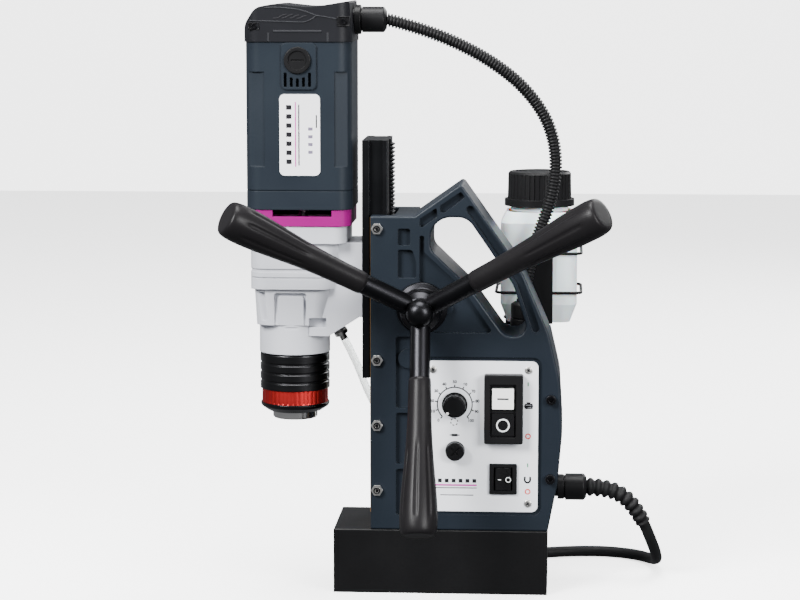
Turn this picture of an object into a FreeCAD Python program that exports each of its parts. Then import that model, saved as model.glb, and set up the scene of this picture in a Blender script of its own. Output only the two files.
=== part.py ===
import FreeCAD, Part
import math
import os
import re
from FreeCAD import Placement, Rotation, Vector

# Magnetic drill press.  Millimetres, +Z up.  The origin is the centre of the magnet foot's
# underside, -X is the spindle side, +X the mains lead side and -Y the operator's side.

os.makedirs("parts", exist_ok=True)
doc = FreeCAD.newDocument("magnetic_drill_press")

# ---------------------------------------------------------------- driving dimensions
SIZES = {
    "magnet_length": 168, "magnet_width": 84, "magnet_height": 51,
    "coil_slot_outer_x": 140, "coil_slot_outer_y": 60, "coil_slot_inner_x": 108,
    "coil_slot_inner_y": 28, "coil_slot_depth": 38, "potting_depth": 7,
    "frame_half_width": 42, "column_front": -54.4, "column_top": 297.9, "column_back": -20.5,
    "housing_top": 203, "loop_far_side": 22,
    "channel_floor": -36.5, "channel_step": -46.3, "channel_bottom": 58,
    "lip_half": 28.05, "channel_half": 30.3,
    "rail_front": -62, "rail_half": 30, "rail_neck_half": 26, "rail_bottom": 169.3,
    "rail_top": 355.8, "rack_back": -45, "rack_half": 9,
    "shaft_x": -14.5, "shaft_z": 227, "shaft_radius": 6, "rack_module": 1, "pinion_teeth": 50,
    "pinion_half": 9,
    "gib_screw_x": -49.5, "gib_first_z": 82.5, "gib_pitch": 51.45, "gib_count": 5,
    "panel_left": -10.8, "panel_right": 76.2, "panel_bottom": 66.2, "panel_top": 185.4,
    "panel_front": -41.6, "panel_back": -40, "panel_corner": 5,
    "knob_x": 11.3, "knob_z": 151.2, "fuse_x": 11.6, "fuse_z": 114.5,
    "rocker_x": 49.2,
    "motor_left": -152, "motor_right": -69.5, "motor_half": 40, "motor_bottom": 302.3,
    "motor_top": 432, "motor_wall": 3, "motor_axis": -110.8,
    "ring_bottom": 289.3, "flange_bottom": 275.6,
    "spindle_axis": -118, "neck_bottom": 186.5, "neck_radius": 28,
    "idler_x": -102.133, "idler_y": 13.45, "gear_module": 0.8,
    "armature_teeth": 12, "idler_wheel_teeth": 28, "idler_pinion_teeth": 12, "spindle_teeth": 40,
    "sleeve_radius": 27.6, "sleeve_bottom": 157.2, "nose_bottom": 133, "chuck_bore_radius": 9.5,
    "bottle_x": 75, "bottle_y": 80, "bottle_bottom": 203, "bottle_half": 31,
    "cable_diameter": 9, "conduit_diameter": 10, "hose_diameter": 6,
    "coil_x": 5, "coil_y": 126, "coil_outer": 63, "coil_inner": 36, "coil_height": 18,
    "arm_tilt": 24, "arm_lead": 0.9, "grip_start": 53, "grip_end": 176,
}
sheet = doc.addObject("Spreadsheet::Sheet", "Sizes")
for row, (alias, number) in enumerate(SIZES.items(), start=1):
    sheet.set(f"A{row}", alias)
    sheet.set(f"B{row}", str(number))
    sheet.setAlias(f"B{row}", alias)
doc.recompute()

ALIASES = re.compile(r"[a-z_]+")


def bind(target, prop, expression):
    """Bind a property to sheet cells; words that are aliases become Sizes.alias."""
    text = ALIASES.sub(lambda w: f"Sizes.{w.group()}" if w.group() in SIZES else w.group(),
                       str(expression))
    target.setExpression(prop, text)


def place(target, x=0, y=0, z=0):
    for axis, value in zip("xyz", (x, y, z)):
        bind(target, f"Placement.Base.{axis}", value)


# ---------------------------------------------------------------- primitives and booleans
def box(name, x, y, z):
    """A block between (low, high) pairs of sheet expressions."""
    block = doc.addObject("Part::Box", name)
    for prop, (low, high) in zip(("Length", "Width", "Height"), (x, y, z)):
        bind(block, prop, f"({high}) - ({low})")
    place(block, x[0], y[0], z[0])
    return block


TURNED_TO = {"x": Rotation(Vector(0, 1, 0), 90), "y": Rotation(Vector(1, 0, 0), -90),
             "z": Rotation()}


def cylinder(name, start, axis, radius, length):
    """A round bar from start along +X, +Y or +Z."""
    bar = doc.addObject("Part::Cylinder", name)
    bar.Placement = Placement(Vector(), TURNED_TO[axis])
    bind(bar, "Radius", radius)
    bind(bar, "Height", length)
    place(bar, *start)
    return bar


def hexagon(name, start, axis, across_flats, length):
    prism = doc.addObject("Part::Prism", name)
    prism.Polygon = 6
    prism.Placement = Placement(Vector(), TURNED_TO[axis])
    bind(prism, "Circumradius", f"({across_flats}) / {2 * math.cos(math.pi / 6):.6f}")
    bind(prism, "Height", length)
    place(prism, *start)
    return prism


def group(name, members):
    """Separate like solids that share one node."""
    pack = doc.addObject("Part::Compound", name)
    pack.Links = members
    return pack


def fuse(name, members):
    joined = doc.addObject("Part::MultiFuse", name)
    joined.Shapes = members
    return joined


def cut(name, base, tools):
    tool = tools[0] if len(tools) == 1 else fuse(f"{name}_tools", tools)
    rest = doc.addObject("Part::Cut", name)
    rest.Base = base
    rest.Tool = tool
    return rest


def common(name, first, second):
    shared = doc.addObject("Part::MultiCommon", name)
    shared.Shapes = [first, second]
    return shared


def rounded_box(name, x, y, z, radius):
    """A block with its four upright edges rounded."""
    block = box(f"{name}_block", x, y, z)
    doc.recompute()
    edges = [(number, radius, radius) for number, edge in enumerate(block.Shape.Edges, start=1)
             if abs(edge.tangentAt(edge.FirstParameter).z) > 0.9]
    soft = doc.addObject("Part::Fillet", name)
    soft.Base = block
    soft.Edges = edges
    return soft


# ---------------------------------------------------------------- bodies from sketches
def body(name):
    return doc.addObject("PartDesign::Body", name)


def outline(points):
    """Closed outline of (u, v) or (u, v, corner radius) points, as lines and arcs."""
    corners = []
    count = len(points)
    for index, point in enumerate(points):
        here = Vector(point[0], point[1], 0)
        radius = point[2] if len(point) > 2 else 0
        if not radius:
            corners.append((here, None, here))
            continue
        before = Vector(points[index - 1][0], points[index - 1][1], 0)
        after = Vector(points[(index + 1) % count][0], points[(index + 1) % count][1], 0)
        to_before = (before - here).normalize()
        to_after = (after - here).normalize()
        half = to_before.getAngle(to_after) / 2
        reach = radius / math.tan(half)
        inward = (to_before + to_after).normalize()
        middle = here + inward * (radius / math.sin(half) - radius)
        corners.append((here + to_before * reach, middle, here + to_after * reach))
    geometry = []
    for index, (start, middle, end) in enumerate(corners):
        if middle is not None:
            geometry.append(Part.Arc(start, middle, end))
        following = corners[(index + 1) % count][0]
        if (following - end).Length > 1e-6:
            geometry.append(Part.LineSegment(end, following))
    return geometry


def disc(u, v, radius):
    return [Part.Circle(Vector(u, v, 0), Vector(0, 0, 1), radius)]


def rectangle(left, low, right, high, corner=0):
    return outline([(left, low, corner), (right, low, corner), (right, high, corner),
                    (left, high, corner)])


def slot_along(points, half):
    """A slot of constant width with round ends along a bent centre line."""
    line = [Vector(u, v, 0) for u, v in points]
    sides = []
    for sign in (1, -1):
        edge = []
        for index, point in enumerate(line):
            back = line[max(index - 1, 0)]
            ahead = line[min(index + 1, len(line) - 1)]
            along = (ahead - back).normalize()
            edge.append(point + Vector(-along.y, along.x, 0) * half * sign)
        sides.append(edge)
    left, right = sides
    first = (line[0] - line[1]).normalize()
    last = (line[-1] - line[-2]).normalize()
    geometry = [Part.LineSegment(a, b) for a, b in zip(left, left[1:])]
    geometry.append(Part.Arc(left[-1], line[-1] + last * half, right[-1]))
    geometry += [Part.LineSegment(b, a) for a, b in zip(right, right[1:])]
    geometry.append(Part.Arc(right[0], line[0] + first * half, left[0]))
    return geometry


PLANES = {"XY": ("XY_Plane", 1), "XZ": ("XZ_Plane", -1), "YZ": ("YZ_Plane", 1)}


def sketch_on(owner, plane, offset, loops):
    """A sketch of the owner parallel to one of its origin planes, at a world offset."""
    role, sign = PLANES[plane]
    sketch = owner.newObject("Sketcher::SketchObject", f"{owner.Name}_sketch")
    origin_plane = next(f for f in owner.Origin.OriginFeatures if f.Role == role)
    sketch.AttachmentSupport = [(origin_plane, "")]
    sketch.MapMode = "FlatFace"
    bind(sketch, "AttachmentOffset.Base.z", f"{sign} * ({offset})")
    for loop in loops:
        sketch.addGeometry(loop, False)
    return sketch


def pad(owner, plane, loops, low, high):
    """Material between two offsets along the plane's world axis."""
    start = high if plane == "XZ" else low
    feature = owner.newObject("PartDesign::Pad", f"{owner.Name}_pad")
    feature.Profile = sketch_on(owner, plane, start, loops)
    bind(feature, "Length", f"({high}) - ({low})")
    return feature


def pocket(owner, plane, loops, low, high):
    """Removes material between two offsets along the plane's world axis."""
    start = low if plane == "XZ" else high
    feature = owner.newObject("PartDesign::Pocket", f"{owner.Name}_pocket")
    feature.Profile = sketch_on(owner, plane, start, loops)
    bind(feature, "Length", f"({high}) - ({low})")
    return feature


def turned(name, profile, x=0, y=0, z=0, turn=Rotation()):
    """A lathe piece: (radius, height) profile turned about its own Z, then placed."""
    owner = body(name)
    sketch = sketch_on(owner, "XZ", 0, [outline(profile)])
    feature = owner.newObject("PartDesign::Revolution", f"{name}_revolution")
    feature.Profile = sketch
    feature.ReferenceAxis = (sketch, ["V_Axis"])
    feature.Angle = 360
    owner.Placement = Placement(Vector(), turn)
    place(owner, x, y, z)
    return owner


def edges_where(shape, test):
    return [f"Edge{number}" for number, edge in enumerate(shape.Edges, start=1) if test(edge)]


def soften(owner, base, radius, test, kind="PartDesign::Fillet"):
    """Rounds the edges of the owner's last feature that pass a test."""
    doc.recompute()
    feature = owner.newObject(kind, f"{owner.Name}_soft")
    feature.Base = (base, edges_where(base.Shape, test))
    bind(feature, "Radius" if kind.endswith("Fillet") else "Size", radius)
    doc.recompute()
    return feature


FACING_OPERATOR = Rotation(Vector(1, 0, 0), 90)
NODES = []


def keep(piece, name=None):
    piece.Label = name or piece.Name
    NODES.append(piece)
    return piece


# ---------------------------------------------------------------- magnet foot
# Steel block whose underside has a closed slot round the middle pole for the winding.
S = SIZES
magnet = body("magnet_block")
pad(magnet, "XY", [rectangle(-S["magnet_length"] / 2, -S["magnet_width"] / 2,
                             S["magnet_length"] / 2, S["magnet_width"] / 2)],
    0, "magnet_height")
ring_slot = [rectangle(-S["coil_slot_outer_x"] / 2, -S["coil_slot_outer_y"] / 2,
                       S["coil_slot_outer_x"] / 2, S["coil_slot_outer_y"] / 2, 8),
             rectangle(-S["coil_slot_inner_x"] / 2, -S["coil_slot_inner_y"] / 2,
                       S["coil_slot_inner_x"] / 2, S["coil_slot_inner_y"] / 2, 3)]
pocket(magnet, "XY", ring_slot, 0, "coil_slot_depth")
FOOT_BOLTS = [(15, 0), (60, 0)]
pocket(magnet, "XY", [disc(u, v, 4) for u, v in FOOT_BOLTS], "magnet_height - 12", "magnet_height")
soften(magnet, magnet.Tip, 0.8, lambda e: e.BoundBox.ZMin > 50.9 and e.Length > 80,
       "PartDesign::Chamfer")
keep(magnet)

coil = body("magnet_coil")
GAP = 0.4
winding = [rectangle(-S["coil_slot_outer_x"] / 2 + GAP, -S["coil_slot_outer_y"] / 2 + GAP,
                     S["coil_slot_outer_x"] / 2 - GAP, S["coil_slot_outer_y"] / 2 - GAP, 8),
           rectangle(-S["coil_slot_inner_x"] / 2 - GAP, -S["coil_slot_inner_y"] / 2 - GAP,
                     S["coil_slot_inner_x"] / 2 + GAP, S["coil_slot_inner_y"] / 2 + GAP, 3)]
pad(coil, "XY", winding, "potting_depth", "coil_slot_depth")
keep(coil)

potting = body("magnet_potting")
pad(potting, "XY", ring_slot, 0, "potting_depth")
keep(potting)

# ---------------------------------------------------------------- frame casting
# Column, switch housing and carrying handle cast in one piece.
casting = body("frame_casting")
half = "frame_half_width"
casting_outline = outline([
    (S["column_front"], S["magnet_height"]), (84.3, S["magnet_height"], 2), (91.5, 88, 80),
    (95.2, 130, 60), (92.8, 170, 60), (84.2, 207, 60), (62.5, 257, 60), (15.6, 323.5, 3),
    (S["column_back"], S["column_top"], 4), (S["column_front"], S["column_top"])])
pad(casting, "XZ", [casting_outline], "-frame_half_width", half)
behind_loop = outline([(S["column_back"], S["housing_top"], 3), (130, S["housing_top"]),
                       (130, 340), (S["column_back"], 340)])
loop_cut = pocket(casting, "XZ", [behind_loop], "loop_far_side", half)
HAND_HOLE = [(-8, 297.3, 16), (-8, 272.3, 10), (22, 243.5, 60), (50, 204.6, 12), (69.3, 204.6, 9),
             (56.5, 245, 40), (20.5, 297.3, 14)]
hole_cut = pocket(casting, "XZ", [outline(HAND_HOLE)], "-frame_half_width", "loop_far_side")


def on_side(edge, y):
    return abs(edge.BoundBox.YMin - y) < 1e-3 and abs(edge.BoundBox.YMax - y) < 1e-3


soft = soften(casting, hole_cut, 1.6,
              lambda e: on_side(e, -42) and e.BoundBox.XMin > -53 and e.BoundBox.ZMin > 51.5)
soft = soften(casting, soft, 1.6,
              lambda e: on_side(e, 22) and e.BoundBox.XMin > 57 and e.BoundBox.ZMin > 251)
soft = soften(casting, soft, 1.2, lambda e: on_side(e, 22) and e.BoundBox.XMin > -9
              and e.BoundBox.XMax < 66.5 and e.BoundBox.ZMax < 297.4)
soft = soften(casting, soft, 1.6,
              lambda e: on_side(e, 42) and e.BoundBox.XMin > 80 and e.BoundBox.ZMin > 52)
channel = outline([(-60, -S["lip_half"]), (S["channel_step"], -S["lip_half"]),
                   (S["channel_step"], -S["channel_half"]), (S["channel_floor"], -S["channel_half"]),
                   (S["channel_floor"], S["channel_half"]), (S["channel_step"], S["channel_half"]),
                   (S["channel_step"], S["lip_half"]), (-60, S["lip_half"])])
pocket(casting, "XY", [channel], "channel_bottom", "column_top + 2")
shaft = (S["shaft_x"], S["shaft_z"])
pocket(casting, "XZ", [disc(*shaft, 9)], "-frame_half_width", 0)
pocket(casting, "XZ", [disc(*shaft, 27.5)], "-pinion_half - 1", half)

# weight-saving pockets with ribs between them
RELIEF = 4
FRONT_POCKETS = [
    rectangle(-33.2, 275.5, -23.8, 288.4, 1.5),
    outline([(-33.2, 272, 1.5), (-22, 272, 3), (-19, 262, 2), (-19, 250, 1.5), (-33.2, 250, 1.5)]),
    rectangle(-34.7, 148, -15, 204, 2), rectangle(-34.7, 103.4, -15, 143.9, 2),
    rectangle(-34.7, 62.6, -15, 99.4, 2),
    outline([(-16.3, 296.2, 1), (-3.2, 304.9, 1), (-2.6, 297.6, 1.5), (-16.3, 288.4, 1.5)]),
    outline([(-0.6, 306.4, 1), (15.4, 317.2, 1), (18.9, 313.2, 1.5), (3.4, 301.2, 1.5),
             (-0.2, 301.2, 1)]),
    slot_along([(22.8, 303.6), (61.4, 248), (73.8, 211)], 2.9),
    outline([(-16.4, 283, 1.5), (-12.8, 283, 1.5), (-12.8, 270, 4), (16.4, 243, 20), (41, 207.4, 2),
             (-16.4, 207.4, 2)]),
]
pocket(casting, "XZ", FRONT_POCKETS, "-frame_half_width", f"-frame_half_width + {RELIEF}")
pocket(casting, "XZ", [slot_along([(22.8, 303.6), (61.4, 248), (73.8, 211)], 2.9)],
       f"loop_far_side - {RELIEF}", "loop_far_side")
REAR_POCKETS = [rectangle(-30, 148, -16, 190, 2), rectangle(-30, 103.4, -16, 143.9, 2),
                rectangle(-30, 62.6, -16, 99.4, 2)]
pocket(casting, "XZ", REAR_POCKETS, f"frame_half_width - {RELIEF}", half)
pad(casting, "XZ", [disc(5.8, 226.1, 4)], "-frame_half_width + 0.6", f"-frame_half_width + {RELIEF}")
pad(casting, "XZ", [disc(-25.5, 186.6, 7.5)], "-frame_half_width + 0.8",
    f"-frame_half_width + {RELIEF}")

# switch housing: recess for the panel, box open at the back, holes for glands and fasteners
pocket(casting, "XZ", [rectangle(-13.6, 63.4, 79, 188.2, 7)], "-frame_half_width", "panel_back")
pocket(casting, "XZ", [rectangle(-6, 62, 80, 193, 6)], -37, half)
pocket(casting, "XZ", [rectangle(36.4, 123.4, 62.4, 173.6, 1), rectangle(39.9, 81.9, 58.5, 103.1, 1),
                       disc(S["knob_x"], S["knob_z"], 4.5), disc(S["fuse_x"], S["fuse_z"], 6.5)],
       "panel_back", -37)
pocket(casting, "YZ", [disc(0, 78.6, 8)], 75, 100)
pocket(casting, "XY", [disc(62.5, 33, 8)], 190, "housing_top + 1")
GIB_HEIGHTS = [S["gib_first_z"] + S["gib_pitch"] * n for n in range(S["gib_count"])]
pocket(casting, "XZ", [disc(S["gib_screw_x"], z, 2.5) for z in GIB_HEIGHTS],
       "-frame_half_width", "-lip_half + 0.5")
HOUSING_SCREWS = [(86.2, 155.6), (85.9, 93)]
pocket(casting, "XZ", [disc(u, v, 2) for u, v in HOUSING_SCREWS], "-frame_half_width", -28)
PANEL_SCREWS = [(-5.8, 178.5), (68.5, 178.5), (68.5, 73), (-5.8, 73)]
pocket(casting, "XZ", [disc(u, v, 1.5) for u, v in PANEL_SCREWS], "panel_back", -34)
pocket(casting, "XY", [disc(u, v, 4.5) for u, v in FOOT_BOLTS], "magnet_height", 62)
COVER_SCREWS = [(-8, 190), (82, 190), (82, 66), (-8, 66)]
pocket(casting, "XZ", [disc(u, v, 1.6) for u, v in COVER_SCREWS], "frame_half_width - 12", half)
keep(casting)

rear_cover = body("rear_cover")
pad(rear_cover, "XZ", [rectangle(-11, 58, 86, 197, 8)], half, "frame_half_width + 2.5")
pocket(rear_cover, "XZ", [disc(u, v, 1.8) for u, v in COVER_SCREWS], half,
       "frame_half_width + 2.5")
VENT_ROWS = [rectangle(15, z, 55, z + 3, 1.4) for z in range(84, 120, 7)]
pocket(rear_cover, "XZ", VENT_ROWS, half, "frame_half_width + 2.5")
soften(rear_cover, rear_cover.Tip, 0.8,
       lambda e: on_side(e, 44.5) and (e.BoundBox.XMax > 85 or e.BoundBox.XMin < -10.5
                                       or e.BoundBox.ZMax > 196 or e.BoundBox.ZMin < 58.5))
keep(rear_cover)

# ---------------------------------------------------------------- guide gibs and fasteners
near_gib = box("near_gib", (-56, "channel_step - 0.3"), ("-lip_half", "-rail_neck_half - 0.05"),
               (62, "column_top - 2"))
far_gib = box("far_gib", (-56, "channel_step - 0.3"), ("rail_neck_half + 0.05", "lip_half"),
              (62, "column_top - 2"))
keep(group("brass_gibs", [near_gib, far_gib]))

gib_fasteners = []
for number, z in enumerate(GIB_HEIGHTS):
    nut = cut(f"gib_nut_{number}", hexagon(f"gib_hex_{number}", ("gib_screw_x", -44.6, z), "y", 8, 2.6),
              [cylinder(f"gib_nut_bore_{number}", ("gib_screw_x", -45, z), "y", 2.5, 4)])
    screw = cut(f"gib_screw_{number}",
                cylinder(f"gib_screw_bar_{number}", ("gib_screw_x", -45.4, z), "y", 2.5, 16.8),
                [hexagon(f"gib_socket_{number}", ("gib_screw_x", -46, z), "y", 2.5, 3.2)])
    gib_fasteners += [nut, screw]
keep(group("gib_fasteners", gib_fasteners))


def cap_screw(name, x, y, z, head, thread, length, turn):
    """Socket-head cap screw whose head stands at the origin and shank runs along -Z."""
    screw = turned(f"{name}_turned", [(0, -length), (thread, -length), (thread, 0), (head, 0),
                                      (head, head * 1.1, 0.4), (0, head * 1.1)], x, y, z, turn)
    key = doc.addObject("Part::Prism", f"{name}_key")
    key.Polygon = 6
    key.Circumradius = head * 0.55
    key.Height = head
    key.Placement = Placement(Vector(x, y, z) + turn.multVec(Vector(0, 0, head * 0.5)), turn)
    return cut(name, screw, [key])


keep(group("foot_bolts", [cap_screw(f"foot_bolt_{n}", u, v, 62, 6.5, 4, 22, Rotation())
                          for n, (u, v) in enumerate(FOOT_BOLTS)]))
keep(group("housing_screws",
           [cap_screw(f"housing_screw_{n}", u, -42, v, 3.8, 2, 12, FACING_OPERATOR)
            for n, (u, v) in enumerate(HOUSING_SCREWS)]
           + [cap_screw(f"cover_screw_{n}", u, 44.5, v, 3, 1.6, 12, Rotation(Vector(1, 0, 0), -90))
              for n, (u, v) in enumerate(COVER_SCREWS)]))

# ---------------------------------------------------------------- control panel
panel = body("control_panel")
pad(panel, "XZ", [rectangle(S["panel_left"], S["panel_bottom"], S["panel_right"], S["panel_top"],
                            S["panel_corner"]),
                  rectangle(36.4, 123.4, 62.4, 173.6, 1), rectangle(39.9, 81.9, 58.5, 103.1, 1),
                  disc(S["knob_x"], S["knob_z"], 4.5), disc(S["fuse_x"], S["fuse_z"], 6.5)]
    + [disc(u, v, 1.6) for u, v in PANEL_SCREWS], "panel_front", "panel_back")
keep(panel)

panel_screws = []
for number, (u, v) in enumerate(PANEL_SCREWS):
    screw = turned(f"panel_screw_{number}_turned",
                   [(0, -6), (1.5, -6), (1.5, 0), (3.1, 0), (2.7, 0.9, 0.5), (0, 1.5)],
                   u, "panel_front", v, FACING_OPERATOR)
    cross = [box(f"panel_cross_{number}_a", (u - 1.5, u + 1.5), (-44, -42.3), (v - 0.35, v + 0.35)),
             box(f"panel_cross_{number}_b", (u - 0.35, u + 0.35), (-44, -42.3), (v - 1.5, v + 1.5))]
    panel_screws.append(cut(f"panel_screw_{number}", screw, cross))
keep(group("panel_screws", panel_screws))

# potentiometer can behind the panel, with a bushing that carries the knob's shaft
pot = turned("speed_pot", [(3.1, -2), (3.1, 12), (0, 12), (0, 15), (8.5, 15, 1), (8.5, 4), (4.4, 4),
                           (4.4, -2)], "knob_x", "panel_back - 0.2", "knob_z",
             Rotation(Vector(1, 0, 0), -90))
keep(pot)
knob = turned("speed_knob", [(0, -10), (3.05, -10), (3.05, 2.6), (6.4, 2.6), (10, 2.6, 0.3),
                             (10, 4.2, 0.3), (9, 4.8, 0.3), (8.5, 13.5, 1.2), (0, 13.5)],
              "knob_x", "panel_front", "knob_z", FACING_OPERATOR)
keep(knob)

# mains contactor switch with two push buttons
switch_case = body("switch_housing")
pad(switch_case, "XZ", [rectangle(34.3, 121.3, 64.5, 175.7, 1.5)], -50, "panel_front")
pad(switch_case, "XZ", [rectangle(36.6, 123.6, 62.2, 173.4, 0.8)], "panel_front", -14)
BUTTONS = {"on_button": (40.6, 148.8, 57.4, 165), "off_button": (40.2, 127.8, 57.8, 145.4)}
pocket(switch_case, "XZ", [rectangle(38.8, 126.4, 59.2, 168.2, 1)], -50, -47.5)
for left, low, right, high in BUTTONS.values():
    pocket(switch_case, "XZ", [rectangle(left - 0.35, low - 0.35, right + 0.35, high + 0.35, 0.6)],
           -50, -24)
soften(switch_case, switch_case.Tip, 1, lambda e: on_side(e, -50)
       and (e.BoundBox.XMin < 36.5 or e.BoundBox.XMax > 62))
keep(switch_case)
for name, (left, low, right, high) in BUTTONS.items():
    button = body(name)
    pad(button, "XZ", [rectangle(left, low, right, high, 0.6)], -49.4 if name[1] == "n" else -48.6, -28)
    keep(button)

# rocker switch for the magnet; it tips about an upright pin
bezel = body("rocker_bezel")
pad(bezel, "XZ", [rectangle(38.4, 80.4, 60, 104.6, 1)], -43.4, "panel_front")
pad(bezel, "XZ", [rectangle(40.1, 82.1, 58.3, 102.9, 0.8)], "panel_front", -22)
pocket(bezel, "XZ", [rectangle(41.9, 83.2, 56.5, 101.8, 0.6)], -43.4, -26)
ROCKER_PIN = (S["rocker_x"], -41)
pocket(bezel, "XY", [disc(*ROCKER_PIN, 1.25)], 81.6, 103.4)
keep(bezel)
rocker = body("magnet_rocker")
pad(rocker, "XY", [outline([(42.7, -44.6, 0.8), (49.2, -42.6, 8), (55.7, -44.6, 0.8), (53.8, -37, 1),
                            (49.2, -32, 2), (44.6, -37, 1)])], 83.7, 101.3)
pad(rocker, "XY", [disc(*ROCKER_PIN, 1.2)], 82.3, 102.7)
keep(rocker)

# fuse holder: threaded tube behind the panel and its bayonet cap
holder = turned("fuse_holder", [(3.4, -1), (3.4, 26), (0, 26), (0, 28), (6.3, 28, 1), (6.3, 0), (7.6, 0),
                                (7.6, -1.6), (6.6, -1.6), (5.2, -1.6), (5.2, -1)],
                "fuse_x", "panel_front", "fuse_z", Rotation(Vector(1, 0, 0), -90))
keep(holder)
cap_blank = turned("fuse_cap_blank", [(0, -14), (3.1, -14), (3.1, 1.9), (7.2, 1.9), (7.2, 6.6, 1),
                                      (0, 6.6)], "fuse_x", "panel_front", "fuse_z", FACING_OPERATOR)
cross = body("fuse_cross")
for side in (-2.6, 2.6):
    pad(cross, "XZ", [slot_along([(S["fuse_x"] - 2.6, S["fuse_z"] - side),
                                  (S["fuse_x"] + 2.6, S["fuse_z"] + side)], 0.6)], -49, -47)
keep(cut("fuse_cap", cap_blank, [cross]))

board = fuse("control_board", [
    box("board_plate", (-3, 77), (34, 35.6), (66, 188)),
    box("board_relay", (4, 26), (20, 34), (150, 176)),
    box("board_heatsink", (34, 70), (22, 34), (140, 150)),
    cylinder("board_capacitor", (16, 8, 130), "y", 9, 26),
    box("board_terminals", (30, 72), (24, 34), (70, 80))])
keep(board)

# ---------------------------------------------------------------- cable glands
def gland(name, base_radius, nut_radius, bore, x, y, z, turn, lengths):
    """Screwed gland: hexless flange, ribbed compression nut, bore for the lead."""
    flange, nut, inside = lengths
    top = flange + nut
    return turned(name, [(bore, -inside), (base_radius - 2, -inside), (base_radius - 2, 0),
                         (base_radius, 0), (base_radius, flange, 0.6), (nut_radius - 1.4, flange),
                         (nut_radius - 1.4, flange + 1), (nut_radius, flange + 1),
                         (nut_radius, top - 2, 1.5), (nut_radius - 3, top), (bore, top)],
                  x, y, z, turn)


ALONG_X = Rotation(Vector(0, 1, 0), 90)
lower_gland = keep(gland("lower_gland", 9.9, 9.4, 5, 62.5, 33, "housing_top", Rotation(), (6, 14, 12)))
keep(gland("mains_gland", 9.9, 10.6, 4.5, 91.7, 0, 78.6, ALONG_X, (5, 17.9, 8)))
upper_gland = keep(gland("upper_gland", 11.5, 10, 5, -69.2, 0, 448.6, ALONG_X, (4.6, 20, 4)))

# ---------------------------------------------------------------- feed shaft and handles
bush = turned("near_bush", [(6.05, 0), (9, 0), (9, 31.8), (6.05, 31.8)], "shaft_x", -42, "shaft_z",
              Rotation(Vector(1, 0, 0), -90))
plug_profile = [(6.05, 9.6), (27.4, 9.6), (27.4, 40.8), (26.6, 41.8), (14, 41.8), (14, 39.8),
                (6.05, 39.8)]
far_bush = turned("far_bush", plug_profile, "shaft_x", 0, "shaft_z", Rotation(Vector(1, 0, 0), -90))
keep(group("shaft_bushes", [bush, far_bush]))


def gear_outline(teeth, module, addendum, dedendum, backlash, phase):
    """Involute spur outline in its own plane; phase turns the first tooth's centre."""
    pressure = math.radians(20)
    pitch_radius = teeth * module / 2
    base_radius = pitch_radius * math.cos(pressure)
    tip_radius = pitch_radius + addendum * module
    root_radius = pitch_radius - dedendum * module
    involute_at_pitch = math.tan(pressure) - pressure
    half_pitch_angle = math.pi / (2 * teeth) - backlash / (2 * pitch_radius)
    start_radius = max(base_radius, root_radius)
    points = []
    for tooth in range(teeth):
        centre = phase + 2 * math.pi * tooth / teeth
        flank = []
        for step in range(4):
            radius = start_radius + (tip_radius - start_radius) * step / 3
            roll = math.sqrt(max((radius / base_radius) ** 2 - 1, 0))
            flank.append((radius, half_pitch_angle + involute_at_pitch - (roll - math.atan(roll))))
        root = [(root_radius, flank[0][1])] if root_radius < base_radius - 1e-6 else []
        rising = [(radius, centre - angle) for radius, angle in root + flank]
        falling = [(radius, centre + angle) for radius, angle in reversed(root + flank)]
        points += [(radius * math.cos(angle), radius * math.sin(angle))
                   for radius, angle in rising + falling]
    return points


def shifted(points, u, v):
    return [(u + a, v + b) for a, b in points]


pinion = body("pinion_shaft")
pinion_teeth = gear_outline(S["pinion_teeth"], S["rack_module"], 1, 1.25, 0.12, math.pi)
pad(pinion, "XZ", [outline(shifted(pinion_teeth, *shaft))], "-pinion_half", "pinion_half")
pad(pinion, "XZ", [disc(*shaft, S["shaft_radius"])], -54, 39)
pad(pinion, "XZ", [disc(*shaft, 9)], 39.9, 41.4)
pad(pinion, "XZ", [disc(*shaft, S["shaft_radius"])], 38, 40.5)
keep(pinion)

HUB_FACE = -42.4
CROSSING = -62
hub_blank = turned("hub_blank", [(6, 0), (20, 0), (20, 3.6, 1.2), (15.5, 6.5, 3), (14.5, 12, 4),
                                 (16, 17, 6), (16, 24, 5), (11, 30, 3), (0, 30), (0, 11.6), (6, 11.6)],
                   "shaft_x", HUB_FACE, "shaft_z", FACING_OPERATOR)
ball = turned("hub_ball", [(0, 0), (6.5, 0), (10.5, 3.4, 5), (10.5, 12.6, 9), (0, 12.6)],
              "shaft_x", HUB_FACE - 30, "shaft_z", FACING_OPERATOR)

tilt = math.radians(S["arm_tilt"])
ARM_ANGLES = (-90, 30, 150)
SPOKE_RADIUS = 7.8


def arm_turn(degrees):
    angle = math.radians(degrees + S["arm_lead"])
    return Rotation(Vector(0, 0, 1), Vector(math.cos(angle) * math.cos(tilt), -math.sin(tilt),
                                            math.sin(angle) * math.cos(tilt)))


spokes = []
grips = []
for degrees in ARM_ANGLES:
    tag = f"{degrees % 360}"
    spokes.append(turned(f"spoke_{tag}", [(0, 9.6), (SPOKE_RADIUS, 9.6), (SPOKE_RADIUS, 74), (0, 74)],
                         "shaft_x", CROSSING, "shaft_z", arm_turn(degrees)))
    grips.append(turned(
        f"grip_{tag}", [(SPOKE_RADIUS, S["grip_start"]), (8.7, S["grip_start"]), (9, 82, 80),
                        (10.3, 108, 90), (13.6, 142, 120), (14.7, 160, 60), (13.9, 173, 12),
                        (12.7, S["grip_end"], 1), (0, S["grip_end"]), (0, 76), (SPOKE_RADIUS, 76)],
        "shaft_x", CROSSING, "shaft_z", arm_turn(degrees)))
keep(group("spokes", spokes))
keep(group("grips", grips))
keep(cut("hub", fuse("hub_and_ball", [hub_blank, ball]), spokes))

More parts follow.
